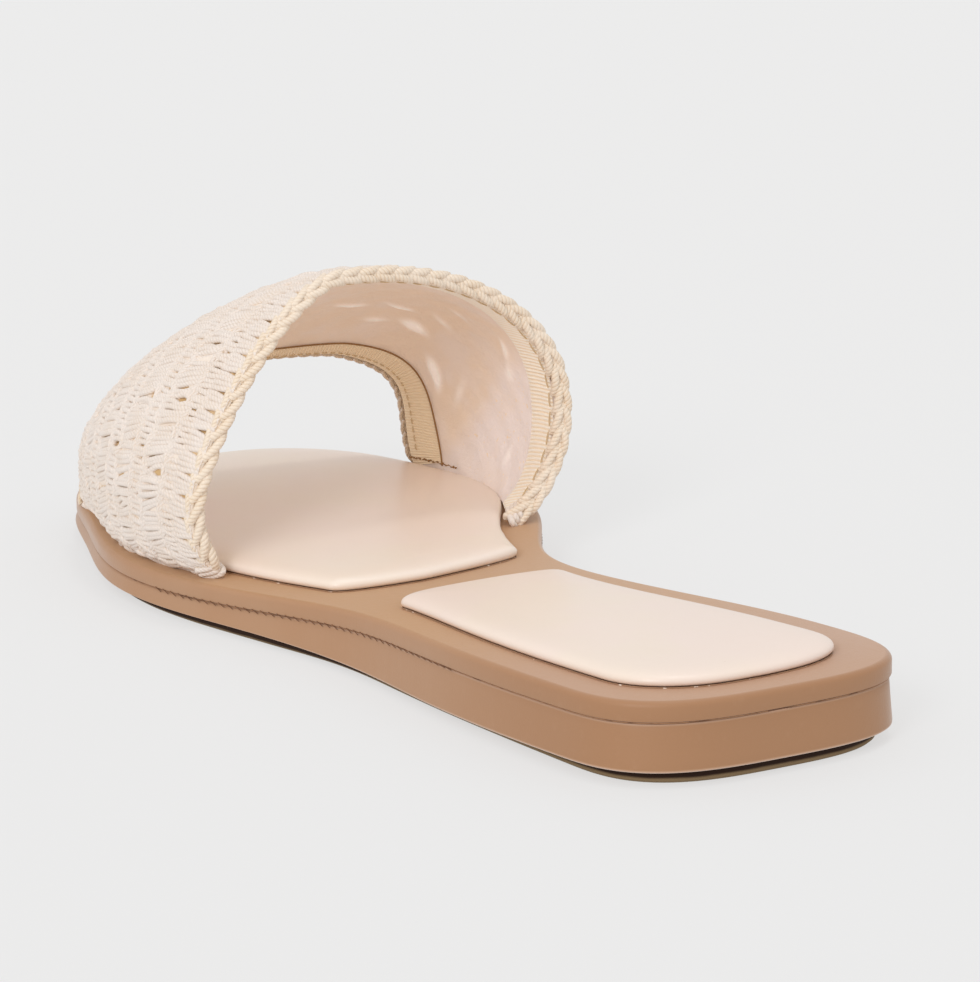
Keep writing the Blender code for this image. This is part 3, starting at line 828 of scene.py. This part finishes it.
# Painted highlight: the higher a pucker, the closer the satin goes to near-white
painted_highlight = position.attribute("pucker_highlight")
feed(
    Base_Color=(0.95 * painted_highlight.rise(0.05, 0.8)).mix(
        speck.mix(blush.mix(SATIN, SATIN_PINK), SATIN_GOLD), SATIN_PAINTED_HIGHLIGHT
    ),
    Roughness=0.32 + 0.18 * position.noise(6.0, 3.0),
    Normal=(position.noise(0.35, 2.0) + 2.0 * position.noise(1.6, 3.0)).bump(0.13),
)
along = np.linspace(*LINING_ENDS, LINING_GRID[1])[None, :]
across = np.linspace(*LINING_EDGES, LINING_GRID[0])[:, None]
puckers = pucker_bells(along, across)
ripple = RIPPLE * np.sin(along * 95 + 7 * across) * np.sin(across * 31 + along * 9)
lining_points = on_strap(along, across, -LINING_IN - puckers - ripple)
lining_faces = grid_faces(*LINING_GRID)[:, ::-1].tolist()
lining = new_piece("strap_lining", lining_points.reshape(-1, 3), lining_faces, satin, "binding_tape")
# The puckers' heights, for the painted highlight
set_values(lining, "pucker_highlight", puckers.ravel())


# The crochet is the strap itself: ecru cotton yarn of three plies, worked from the rear edge in pairs of
# rows. A low row of short V stitches carries a tall row of fans, and a chain lies along the top of each.

YARN_RADIUS, TOP_CHAIN_RADIUS = 0.72, 0.6
ROW_PAIRS = 5
ROWS_FROM, ROWS_TO = 0.045, 0.955  # shares across the strap
LOW_ROW = 0.37  # share of a pair of rows
STITCH = 2.65
FAN_WIDTH = 8.6
FAN_POSTS = 8
FAN_LEAN, LEAN_STRAY = -2.2, 0.55  # along the row, from a post's foot to its head
SHORT_POSTS = 0.01  # share of posts that end below the chain and leave a gap
POST_POINTS = 12
LEG_POINTS = 9
GROUND_OUT = 0.70
GROUND_GRID = (80, 240)
GROUND_EDGES = (-0.01, 0.985)  # shares across the strap
GROUND_HOLES = 0.03  # share across beside the rear edge where tan shade is painted on the ground
HOLE_DEPTH = 0.45
# Main holes, with a twin on the other side: share along the arch, share across, size
HOLES = (
    (0.21, 0.30, 1.3), (0.19, 0.35, 0.8), (0.21, 0.15, 1.1), (0.14, 0.44, 1.2), (0.07, 0.36, 1.1),
    (0.12, 0.15, 0.9), (0.28, 0.31, 0.8), (0.27, 0.51, 0.9), (0.24, 0.25, 0.7), (0.17, 0.11, 0.8),
    (0.07, 0.54, 0.8), (0.30, 0.07, 0.7), (0.29, 0.15, 0.8), (0.38, 0.12, 0.8), (0.09, 0.24, 0.7),
    (0.35, 0.40, 0.8), (0.44, 0.29, 0.9), (0.47, 0.62, 0.9), (0.17, 0.70, 0.9), (0.31, 0.76, 0.9),
)
# Yarn: painted shade on each strand's underside, painted shade in the grooves between plies, ply, palest
# patches
BODY_YARN = (
    (0.790, 0.640, 0.470, 1.0),
    (0.800, 0.670, 0.540, 1.0),
    (0.822, 0.722, 0.643, 1.0),
    (0.846, 0.765, 0.705, 1.0),
)
# Tan painted as shade in the gaps, then the pale ground's own colour
GROUND_PAINTED_SHADE = (0.640, 0.440, 0.225, 1.0)
GROUND_PALE = (0.845, 0.745, 0.655, 1.0)
GROUND_GLOW = (1.0, 0.72, 0.42, 1.0)  # painted glow, for light that passes through the gaps from inside


def hole_places(p, across, length):
    """Distances from each main hole, along the row and across it, and its size."""
    for at, over, size in HOLES:
        for middle in (at, 1 - at):
            yield p - middle * length, (across - over) * STRAP_WIDTH, size


def parted(p, across, length):
    """Places along a row, pushed away from the main holes by a bell of the distance from each."""
    for gap, rise, size in hole_places(p, across, length):
        p = p + size * np.tanh(3 * gap / size) * np.exp(-(gap**2 + rise**2) / (2 * size**2))
    return p


def strand_on_strap(p, across, out, length, radius):
    """Yarn along lines on the strap: p in millimetres along a row, arrays (..., strand, point)."""
    p, across, out = np.broadcast_arrays(parted(p, across, length), across, out)
    count = p.shape[-1]
    along = p.reshape(-1, count) / length
    across = across.reshape(-1, count)
    paths = on_strap(along, across, out.reshape(-1, count))
    return yarn(paths, read_grid(strap_out, along, across), radius)


def chain_legs(count, pitch, spread, rise, wobble, points):
    """Legs of a chain (loop, leg, point): place, offset sideways and height.

    Each loop's two legs leave the middle, part, close a little and dive below the next loop.
    """
    t = np.linspace(0, 1, points)
    side = np.array([-spread[0], spread[1]])[None, :, None]
    stray = chance.normal(0, wobble, (count, 2, 1))
    place = (np.arange(count)[:, None, None] - 0.15 + 1.65 * t) * pitch + stray
    sideways = side * (1.08 * np.sin(0.6 * np.pi * t) - 0.08 * (1 - t)) + 0.5 * stray
    height = rise * (1.4 * np.sin(np.pi * (0.06 + 0.9 * t)) - 0.4 - 1.3 * t**6)
    return place, sideways, height + 0.3 * stray


def top_chain(base, length, top):
    """The chain that lies on a row, at a height across that is a function of the place along it."""
    count = int(length / STITCH)
    place, sideways, height = chain_legs(count, length / count, (0.66, 0.66), 0.42, 0.18, LEG_POINTS)
    across = base + (top(place) + sideways) / STRAP_WIDTH
    return strand_on_strap(place, across, 0.28 + height, length, TOP_CHAIN_RADIUS)


def low_row(base, height):
    """Short V stitches: two legs that part on their way up, and the chain over them."""
    length = arch_length(base)
    count = int(length / STITCH)
    t = np.linspace(0, 1, LEG_POINTS)
    centre = (np.arange(count)[:, None, None] + 0.5) * length / count + chance.normal(0, 0.2, (count, 1, 1))
    side = np.array([-1.0, 1.0])[None, :, None]
    p = centre + side * (0.42 + 0.45 * t) + chance.normal(0, 0.22, (count, 2, 1)) * t
    q = -1.0 + (height + 1.2) * t
    out = -0.1 + (0.75 + chance.normal(0, 0.12, (count, 2, 1))) * np.sin(np.pi * (0.06 + 0.8 * t)) ** 0.8
    legs = strand_on_strap(p, base + q / STRAP_WIDTH, out, length, YARN_RADIUS)
    return [legs, top_chain(base, length, lambda place: height)]


def fan_row(base, height, shift):
    """Fans of tall posts out of one hole each, and a scalloped chain over them."""
    length = arch_length(base)
    count = int(round(length / FAN_WIDTH))
    width = length / count
    start = 0.25 + 0.5 * shift
    centre = (np.arange(count) + start) * width + chance.normal(0, 0.35, count)
    t = np.linspace(0, 1, POST_POINTS)
    post = np.linspace(-1, 1, FAN_POSTS)[None, :, None]
    shape = (count, FAN_POSTS, 1)
    gather = chance.uniform(0.45, 0.85, (count, 1, 1))
    skew = chance.normal(FAN_LEAN, LEAN_STRAY, (count, 1, 1))
    head = post * 0.5 * width + skew + chance.normal(0, 0.18, shape)
    foot = post * 0.5 * width * gather + chance.normal(0, 0.12, shape)
    bend = chance.normal(0, 0.2, shape) * np.sin(np.pi * t)
    p = centre[:, None, None] + foot + (head - foot) * t**0.85 + bend
    reach = height * (1.06 - 0.14 * post**2) + chance.normal(0, 0.3, shape)
    reach *= np.where(chance.uniform(0, 1, shape) < SHORT_POSTS, chance.uniform(0.6, 0.85, shape), 1)
    q = -1.3 + (reach + 1.3) * t
    tall = 0.85 - 0.3 * post**2 + chance.normal(0, 0.12, shape)
    out = -0.1 + tall * np.sin(np.pi * (0.05 + 0.82 * t)) ** 0.7
    posts = strand_on_strap(p, base + q / STRAP_WIDTH, out, length, YARN_RADIUS)

    def scallop(place):
        local = (place - FAN_LEAN) / width - start
        return height * (1.02 - 0.15 * (2 * (local - np.round(local))) ** 2)

    return [posts, top_chain(base, length, scallop)]


def yarn_finish(name, underside_shade, groove, crown, pale):
    """Matt cotton: pale ply crowns, painted shade in the grooves and under each strand, fuzz of short
    fibres.
    """
    sockets = {"Roughness": 0.85, "Specular IOR Level": 0.2, "Sheen Weight": 0.25, "Sheen Roughness": 0.5}
    material, position, feed = new_finish(name, sockets)
    ply_map = position.node("ShaderNodeUVMap", {"uv_map": "ply"}, {})
    turn = np.pi * (ply_map.axis(0) + YARN_PLIES * ply_map.axis(1))
    ply = turn.maths("ABSOLUTE", turn.maths("SINE", turn))
    cloud = position.noise(7.0, 3.0).rise(0.35, 0.65)
    fibre = position.noise(0.3, 2.0)
    # Painted shade: the warm underside colour on the side of each strand that faces the wall
    upper = turn.maths("SINE", 2 * np.pi * ply_map.axis(1)).rise(-0.45, 0.5)
    # Painted shade in the grooves between plies, pale crowns, and palest patches at random
    shade = (0.6 * cloud).mix(ply.rise(0.0, 0.55).mix(groove, crown), pale)
    feed(
        Base_Color=upper.mix(underside_shade, shade),
        Normal=(ply + 0.5 * fibre).bump(0.12),
    )
    return material


cotton = yarn_finish("crochet_cotton", *BODY_YARN)
pair = (ROWS_TO - ROWS_FROM) / ROW_PAIRS
for number in range(ROW_PAIRS):
    base = ROWS_FROM + number * pair
    low_height = LOW_ROW * pair * STRAP_WIDTH
    fan_height = (1 - LOW_ROW) * pair * STRAP_WIDTH
    rows = low_row(base, low_height) + fan_row(base + LOW_ROW * pair, fan_height, number % 2)
    crochet = yarn_piece(f"strap_crochet_{number + 1}", rows, cotton)
    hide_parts("strap")

# A cotton sheet fills the gaps under the yarn. Tan shade is painted on it in the holes and beside the rear
# edge
ground_cotton, position, feed = new_finish(
    "ground_cotton",
    {
        "Roughness": 0.9,
        "Specular IOR Level": 0.15,
        "Emission Color": GROUND_GLOW,
        "Emission Strength": 0.02,
    },
)
knot = position.noise(0.9, 2.0)
hole = position.attribute("hole")
feed(Base_Color=hole.rise(0.2, 0.6).mix(GROUND_PALE, GROUND_PAINTED_SHADE), Normal=knot.bump(0.35))


def soft_spots(shape, passes):
    """Random heights in units of their spread, averaged with their neighbours in several passes."""
    spots = chance.normal(0, 1, shape)
    for _ in range(passes):
        for axis in (0, 1):
            spots = (np.roll(spots, 1, axis) + spots + np.roll(spots, -1, axis)) / 3
    return spots / spots.std()


along = np.linspace(0.0, 1.0, GROUND_GRID[1])[None, :]
across = np.linspace(*GROUND_EDGES, GROUND_GRID[0])[:, None]
spots = np.clip(2 * soft_spots(GROUND_GRID, 4) - 0.4, 0, 1)
pits = np.zeros(GROUND_GRID)
for gap, rise, size in hole_places(along * arch_length(across), across, arch_length(across)):
    pits = np.maximum(pits, np.exp(-(gap**2 + rise**2) / (2 * size**2)))
# Painted shade: tan where the ground dips into the holes, half tan beside the rear edge
holes = np.maximum(np.maximum(spots, pits), 0.5 * (across < GROUND_HOLES))
ground_points = on_strap(along, across, GROUND_OUT - HOLE_DEPTH * (spots + pits)).reshape(-1, 3)
ground_faces = grid_faces(*GROUND_GRID).tolist()
ground = new_piece("strap_ground", ground_points, ground_faces, ground_cotton, "crochet_yarn")
set_values(ground, "hole", holes.ravel())
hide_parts("strap")


# The edge rows close the crochet at its rear and front: short stitches in fours, with a small hole between
# them, and along the very edge a chain whose loops lie like a two-strand braid.

EDGE_ROW = 3.2
EDGE_POSTS = np.array([-1.72, -0.58, 0.58, 1.72])[None, :, None]  # places in a group
EDGE_GATHER, EDGE_CLOSE = 0.62, 1.6  # share left of the spread at the chain, and how fast it opens out
CORE_POINTS = 200
BRAID_SIDES = 14
BRAID_GROOVE = 0.22
BRAID_POINTS = 20
# Chains: pitch, radius of yarn, spread of the inner and the outer leg, distance of the middle from the edge
REAR_CHAIN = (4.65, 0.98, (1.45, 1.25), 1.8)
FRONT_CHAIN = (3.0, 0.55, (0.62, 0.62), 1.25)
# The rear chain lies over to the outside up to a share of the arch: outer legs sink in, inner ones swell
CHAIN_ROLL, ROLL_TO = np.radians(38.0), 0.42
LEG_SPREAD = np.array([0.45, -0.45])[:, None]
LEG_SWELL = np.array([0.15, -0.30])[:, None]
LEG_SINK = np.array([0.0, 0.7])[:, None]
CROWN_TIGHT = 0.3  # share by which the loops are narrower at the crown
# Edge yarn, in the body yarn's columns: painted shade under strands and between plies, ply, palest patches
EDGE_YARN = (
    (0.830, 0.695, 0.540, 1.0),
    (0.740, 0.555, 0.370, 1.0),
    (0.868, 0.732, 0.585, 1.0),
    (0.897, 0.786, 0.665, 1.0),
)


def edge_frame(along, edge, outwards):
    """Point on an edge, and unit directions out from the wall and away from the edge."""
    across = gaping(along, np.full_like(along, edge))
    point = read_grid(strap_middle, along, across)
    ahead = read_grid(strap_middle, along, across + outwards * 0.04) - point
    out = read_grid(strap_out, along, across)
    ahead -= out * (ahead * out).sum(axis=-1, keepdims=True)
    return point, out, unit(ahead)


def edge_chain(edge, outwards, direction, sizes):
    """Legs of the chain along an edge, and the plain core below them."""
    pitch, radius, spread, reach = sizes
    length = arch_length(edge)
    count = int(length / pitch)
    place, sideways, height = chain_legs(count, length / count, spread, 0.75 * radius, 0.08, BRAID_POINTS)
    along = place / length if direction > 0 else 1 - place / length
    along = np.clip(along, -FOOT_TUCK, 1 + FOOT_TUCK)
    sideways = sideways * (1 - CROWN_TIGHT * np.sin(np.pi * np.clip(along, 0, 1)) ** 4)
    point, out, away = edge_frame(along, edge, outwards)
    over = np.clip(1 - along / ROLL_TO, 0, 1) ** 0.5 * (outwards < 0)
    roll = CHAIN_ROLL * over
    sideways = sideways * (1 + LEG_SPREAD * over)
    height = height - LEG_SINK * over
    outer = sideways * np.cos(roll) + height * np.sin(roll)
    beyond = reach + height * np.cos(roll) - sideways * np.sin(roll)
    paths = point + out * outer[..., None] + away * beyond[..., None]
    flat = (-1, BRAID_POINTS, 3)
    thick = (radius * (1 + LEG_SWELL * over)).reshape(-1, BRAID_POINTS, 1)
    legs = yarn(paths.reshape(flat), away.reshape(flat), thick, BRAID_SIDES, BRAID_GROOVE)
    line = np.linspace(0.01, 0.985, CORE_POINTS)[None, :]
    point, out, away = edge_frame(line, edge, outwards)
    core = yarn(point + away * (reach - 0.2 * radius), away, radius)
    return legs, core


def edge_row(edge, inwards, past):
    """Short stitches in fours that lean together at the edge chain, up to the first or last row."""
    length = arch_length(edge)
    count = int(length / REAR_CHAIN[0])
    t = np.linspace(0, 1, LEG_POINTS)
    centre = (np.arange(count)[:, None, None] + 0.5) * length / count
    spread = EDGE_POSTS * (EDGE_GATHER + (1 - EDGE_GATHER) * np.minimum(EDGE_CLOSE * t, 1))
    p = centre + spread + 0.5 * t + chance.normal(0, 0.08, (count, 4, 1))
    q = -past + (EDGE_ROW + 1.0 + past) * t
    out = -0.05 + 0.8 * np.sin(np.pi * (0.12 + 0.76 * t)) + chance.normal(0, 0.1, (count, 4, 1))
    return strand_on_strap(p, edge + inwards * q / STRAP_WIDTH, out, length, YARN_RADIUS)


edge_cotton = yarn_finish("edge_cotton", *EDGE_YARN)
legs, core = edge_chain(0.0, -1, 1, REAR_CHAIN)
rear_chain = yarn_piece("rear_edge_chain", [legs], edge_cotton)
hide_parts("rear_edge_braid")
rear_core = yarn_piece("rear_edge_core", [core], ground_cotton)
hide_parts("rear_edge_braid")
front_chain = yarn_piece("front_edge_chain", edge_chain(1.0, 1, -1, FRONT_CHAIN), cotton)
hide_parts("front_edge_braid")
edge_rows = yarn_piece("strap_edge_rows", [edge_row(0.0, 1, 2.2), edge_row(1.0, -1, 0.7)], cotton)
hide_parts("strap")


# Along each foot the ends of the rows are worked into a thick uneven hem, which sits on the frame and
# hides the glue.

HEM_STRANDS, HEM_POINTS, HEM_RADIUS = 5, 150, 0.7
HEM_SLOW, HEM_QUICK = 34, 81  # waves across the strap, in radians
END_WRAPS, WRAP_RADIUS = 3, 0.75


def foot_hem(foot, inwards):
    """Strands along a foot, each a slow and a quick sine about its own line."""
    across = np.linspace(0.0, 0.985, HEM_POINTS)[None, :] + np.zeros((HEM_STRANDS, 1))
    level = np.linspace(-0.006, 0.022, HEM_STRANDS)[:, None]
    phase = chance.uniform(0, 2 * np.pi, (HEM_STRANDS, 2))[:, :, None]
    slow = np.sin(across * HEM_SLOW + phase[:, 0])
    quick = np.sin(across * HEM_QUICK + phase[:, 1])
    along = foot + inwards * (level + 0.0045 * slow + 0.0025 * quick)
    out = 0.35 + 0.4 * np.cos(across * HEM_SLOW + phase[:, 0]) + 0.2 * quick
    paths = on_strap(along, across, out)
    return yarn(paths, read_grid(strap_out, along, across), HEM_RADIUS)


def end_wraps(foot, inwards):
    """Turns of yarn round the end of the rear chain, from inside the strap to outside."""
    t = np.linspace(0, 1, LEG_POINTS)[None, :]
    level = np.arange(END_WRAPS)[:, None]
    along = np.clip(foot + inwards * (0.0065 * level - 0.006) + 0.004 * t, -FOOT_TUCK, 1 + FOOT_TUCK)
    across = 0.012 - (0.062 - 0.006 * level) * np.sin(np.pi * t)
    out = (2.1 - 0.15 * level) * (2 * t - 1)
    rearwards = read_grid(strap_middle, along, across) - read_grid(strap_middle, along, across + 0.03)
    return yarn(on_strap(along, across, out), rearwards, WRAP_RADIUS)


hem_strands = [foot_hem(0.0, 1), foot_hem(1.0, -1), end_wraps(0.0, 1), end_wraps(1.0, -1)]
hem = yarn_piece("strap_foot_hems", hem_strands, cotton)
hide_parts("strap")


# Ribbed tape is sewn inside both edges of the strap over the lining. It is woven with ribs across its
# width, so its inner edge is slightly scalloped.

TAPE_POINTS_PER_RIB = 6
TAPE_LINES = 9  # across the tape
TAPE_IN = 1.45
TAPE_THICKNESS = 0.45
TAPE_SCALLOP = 0.0025
TAPE_STITCH_RADIUS, TAPE_STITCH_RISE = 0.16, 0.2
SHADOW_LINE_RADIUS, CRUMB_RADIUS = 0.2, 0.36
CRUMBS = 90
STEP_ALONG, STEP_ACROSS = 0.004, 0.01  # shares, for measuring slopes
# Tapes: edge beside the chain, inner edge at the crown and at the feet, rib, height of rib
REAR_TAPE = (0.005, 0.195, 0.21, 0.95, 0.2)
FRONT_TAPE = (1.0, 0.945, 0.815, 0.7, 0.1)
# Each tape's pale colour on the ribs, and a darker copy painted as shade between them
TAPE_PALE = (0.945, 0.895, 0.805, 1.0)
TAPE_PALE_PAINTED_SHADE = (0.840, 0.690, 0.490, 1.0)
TAPE_GOLD = (0.880, 0.720, 0.500, 1.0)
TAPE_GOLD_PAINTED_SHADE = (0.820, 0.640, 0.410, 1.0)
# Brown for a painted shadow along the front tape's inner edge, and for the crumbs of glue at its foot
SHADOW_AND_GLUE_BROWN = (0.330, 0.170, 0.060, 1.0)
TAPE_THREAD = (0.700, 0.530, 0.320, 1.0)


def tape_edge(sizes, along):
    """Share across of a tape's inner edge: a parabola from the crown to the feet."""
    return sizes[1] + (sizes[2] - sizes[1]) * (2 * along - 1) ** 2


def square_shift(along, edge):
    """Step along the arch for each step across that keeps a rib at right angles to the edge."""
    point = read_grid(strap_middle, along, edge)
    ahead = read_grid(strap_middle, along + STEP_ALONG, edge) - point
    over = read_grid(strap_middle, along, edge + STEP_ACROSS) - point
    return -STEP_ALONG / STEP_ACROSS * (ahead * over).sum(axis=-1) / (ahead**2).sum(axis=-1)


def tape(sizes):
    """A strip along an edge: its inner face waves with the ribs, its back is plain."""
    outer, rib, rib_height = sizes[0], sizes[3], sizes[4]
    ribs = int(arch_length(outer) / rib)
    along = np.linspace(0, 1, ribs * TAPE_POINTS_PER_RIB + 1)
    wave = np.cos(np.linspace(0, 2 * np.pi * ribs, len(along)))
    over = np.linspace(0, 1, TAPE_LINES)[:, None]
    rounded = 1 - (2 * over - 1) ** 6
    inner = tape_edge(sizes, along)
    across = outer + (inner - outer) * over + TAPE_SCALLOP * np.sign(inner - outer) * wave * over**6
    shift = square_shift(along, np.full_like(along, outer))
    place = np.clip(along + shift * (across - outer), -FOOT_TUCK, 1 + FOOT_TUCK)
    depth = TAPE_IN + (TAPE_THICKNESS + rib_height * wave) * rounded
    front = on_strap(place, across, -depth)
    back = on_strap(place, across, np.full_like(across, -TAPE_IN + 0.05))
    points = np.concatenate([front.reshape(-1, 3), back.reshape(-1, 3)])
    faces = grid_faces(TAPE_LINES, len(along))
    if inner.mean() > outer:
        faces = faces[:, ::-1]
    back_faces = faces[:, ::-1] + TAPE_LINES * len(along)
    return points, faces.tolist() + back_faces.tolist(), np.tile(0.5 + 0.5 * wave, 2 * TAPE_LINES)


def tape_piece(name, sizes, finish):
    """The tape with the height of its ribs as an attribute that its material reads."""
    points, faces, ribs = tape(sizes)
    piece = new_piece(name, points, faces, finish, "binding_tape")
    set_values(piece, "rib", ribs)
    return piece


def tape_stitches(sizes, share, pitch, reach):
    """Short stitches along a tape, at a share of its width from the chain, on its inner face."""
    length = arch_length(sizes[0])
    p = np.arange(3.0, length - 3.0, pitch)[:, None] + reach * np.linspace(-0.5, 0.5, STITCH_POINTS)
    across = sizes[0] + (tape_edge(sizes, p / length) - sizes[0]) * share
    bow = TAPE_STITCH_RISE * np.cos(np.linspace(-1.4, 1.4, STITCH_POINTS))
    return strand_on_strap(p, across, -TAPE_IN - TAPE_THICKNESS - bow, length, TAPE_STITCH_RADIUS)


def tape_finish(name, low, high, glow):
    """Woven tape: dry thread, painted shade between the ribs, pale on them, and a painted glow for light
    through it.
    """
    sockets = {"Roughness": 0.62, "Sheen Weight": 0.3}
    sockets.update({"Emission Color": LIGHT_THROUGH, "Emission Strength": glow})
    material, position, feed = new_finish(name, sockets)
    thread = position.noise(0.3, 2.0)
    rib = position.attribute("rib")
    # Painted shade between the ribs, pale colour on them
    feed(Base_Color=(0.7 * rib + 0.3 * thread).rise(0.1, 0.7).mix(low, high), Normal=thread.bump(0.08))
    return material


pale_tape = tape_finish("pale_tape", TAPE_PALE_PAINTED_SHADE, TAPE_PALE, 0.06)
rear_tape = tape_piece("rear_tape", REAR_TAPE, pale_tape)
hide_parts("rear_binding")
gold_tape = tape_finish("gold_tape", TAPE_GOLD_PAINTED_SHADE, TAPE_GOLD, 0.05)
front_tape = tape_piece("front_tape", FRONT_TAPE, gold_tape)
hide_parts("front_binding")

# Painted shadow: a dark brown line along the front tape's inner edge. The same brown colours the crumbs of
# glue along the medial foot.
shadow_and_glue, _, _ = new_finish("tape_shadow_and_glue", {"Base Color": SHADOW_AND_GLUE_BROWN, "Roughness": 0.8})
along = np.linspace(0.005, 0.995, 200)[None, :]
painted_shadow_line = on_strap(along, tape_edge(FRONT_TAPE, along) - 0.002, np.full_like(along, -TAPE_IN - 0.15))
across = np.linspace(0.72, 1.0, CRUMBS)[None, :]
foot_level = 0.984 + 0.035 * (1 - across) + 0.001 * np.sin(across * 170)
foot_line = on_strap(foot_level, across, -TAPE_IN - 0.5 + chance.uniform(-0.15, 0.15, (1, CRUMBS)))
crumbs = CRUMB_RADIUS * chance.uniform(0.2, 1, (CRUMBS, 1)) ** 2
dark_lines = [
    yarn(painted_shadow_line, UP, SHADOW_LINE_RADIUS),
    yarn(foot_line, UP, crumbs),
]
yarn_piece("front_tape_shadow_and_glue", dark_lines, shadow_and_glue, "binding_tape")
tape_thread, _, _ = new_finish("tape_thread", {"Base Color": TAPE_THREAD, "Roughness": 0.8})
seams = [tape_stitches(FRONT_TAPE, 0.25, 2.0, 1.3), tape_stitches(REAR_TAPE, 0.05, 4.65, 3.4)]
yarn_piece("tape_stitches", seams, tape_thread, "binding_tape")


# The stage: a pale floor under soft light from all round, a lamp overhead, a wide soft one from the
# lateral side, and a long lens at the height and angle of a product picture.

CAMERA_AZIMUTH, CAMERA_ELEVATION = np.radians(-32.2), np.radians(14.6)
CAMERA_DISTANCE = 1200.0
CAMERA_TARGET = np.array([14.2, 127.5, 28.0])
FOCAL_PIXELS = 5521.0
IMAGE_WIDTH = 980
SENSOR = 36.0
FLOOR_SIZE, FLOOR_DROP = 12.0, 0.0002
FLOOR_GREY = (0.22, 0.22, 0.22, 1.0)
FLOOR_GLOW = 0.595
SKY, SKY_COLOUR = 0.80, (1.0, 0.99, 0.98, 1.0)
# Lamps: direction towards the lamp, strength, width in degrees, colour
LAMPS = {
    "overhead_lamp": ((0.10, -0.05, 1.0), 0.3, 9.0, (1.0, 0.97, 0.93)),
    "side_lamp": ((-0.70, -0.47, 0.48), 1.0, 20.0, (0.98, 0.98, 1.0)),
}

paper, _, _ = new_finish(
    "floor_paper",
    {
        "Base Color": FLOOR_GREY,
        "Roughness": 0.9,
        "Specular IOR Level": 0.1,
        "Emission Color": (1.0, 1.0, 1.0, 1.0),
        "Emission Strength": FLOOR_GLOW,
    },
)
half = FLOOR_SIZE / 2
corners = [(-half, -half, 0), (half, -half, 0), (half, half, 0), (-half, half, 0)]
floor_mesh = bpy.data.meshes.new("floor")
floor_mesh.from_pydata(corners, [], [(0, 1, 2, 3)])
floor_mesh.materials.append(paper)
floor = bpy.data.objects.new("floor", floor_mesh)
floor.location.z = -FLOOR_DROP
bpy.context.scene.collection.objects.link(floor)

world = bpy.data.worlds.new("studio")
world.use_nodes = True
background = world.node_tree.nodes["Background"]
background.inputs["Color"].default_value = SKY_COLOUR
background.inputs["Strength"].default_value = SKY
bpy.context.scene.world = world

for name, (towards, strength, width, colour) in LAMPS.items():
    lamp_data = bpy.data.lights.new(name, "SUN")
    lamp_data.energy = strength
    lamp_data.angle = np.radians(width)
    lamp_data.color = colour
    lamp = bpy.data.objects.new(name, lamp_data)
    lamp.rotation_euler = Vector(towards).to_track_quat("Z", "Y").to_euler()
    bpy.context.scene.collection.objects.link(lamp)

a, e = CAMERA_AZIMUTH, CAMERA_ELEVATION
looking = np.array([-np.sin(a) * np.cos(e), np.cos(a) * np.cos(e), -np.sin(e)])
camera_data = bpy.data.cameras.new("camera")
camera_data.sensor_fit = "HORIZONTAL"
camera_data.sensor_width = SENSOR
camera_data.lens = FOCAL_PIXELS * SENSOR / IMAGE_WIDTH
camera_data.clip_start = 0.05
camera = bpy.data.objects.new("camera", camera_data)
camera.location = (CAMERA_TARGET - SHOE_ORIGIN - looking * CAMERA_DISTANCE) * MM
camera.rotation_euler = Vector(looking).to_track_quat("-Z", "Y").to_euler()
bpy.context.scene.collection.objects.link(camera)
bpy.context.scene.camera = camera
bpy.context.scene.view_settings.view_transform = "Standard"
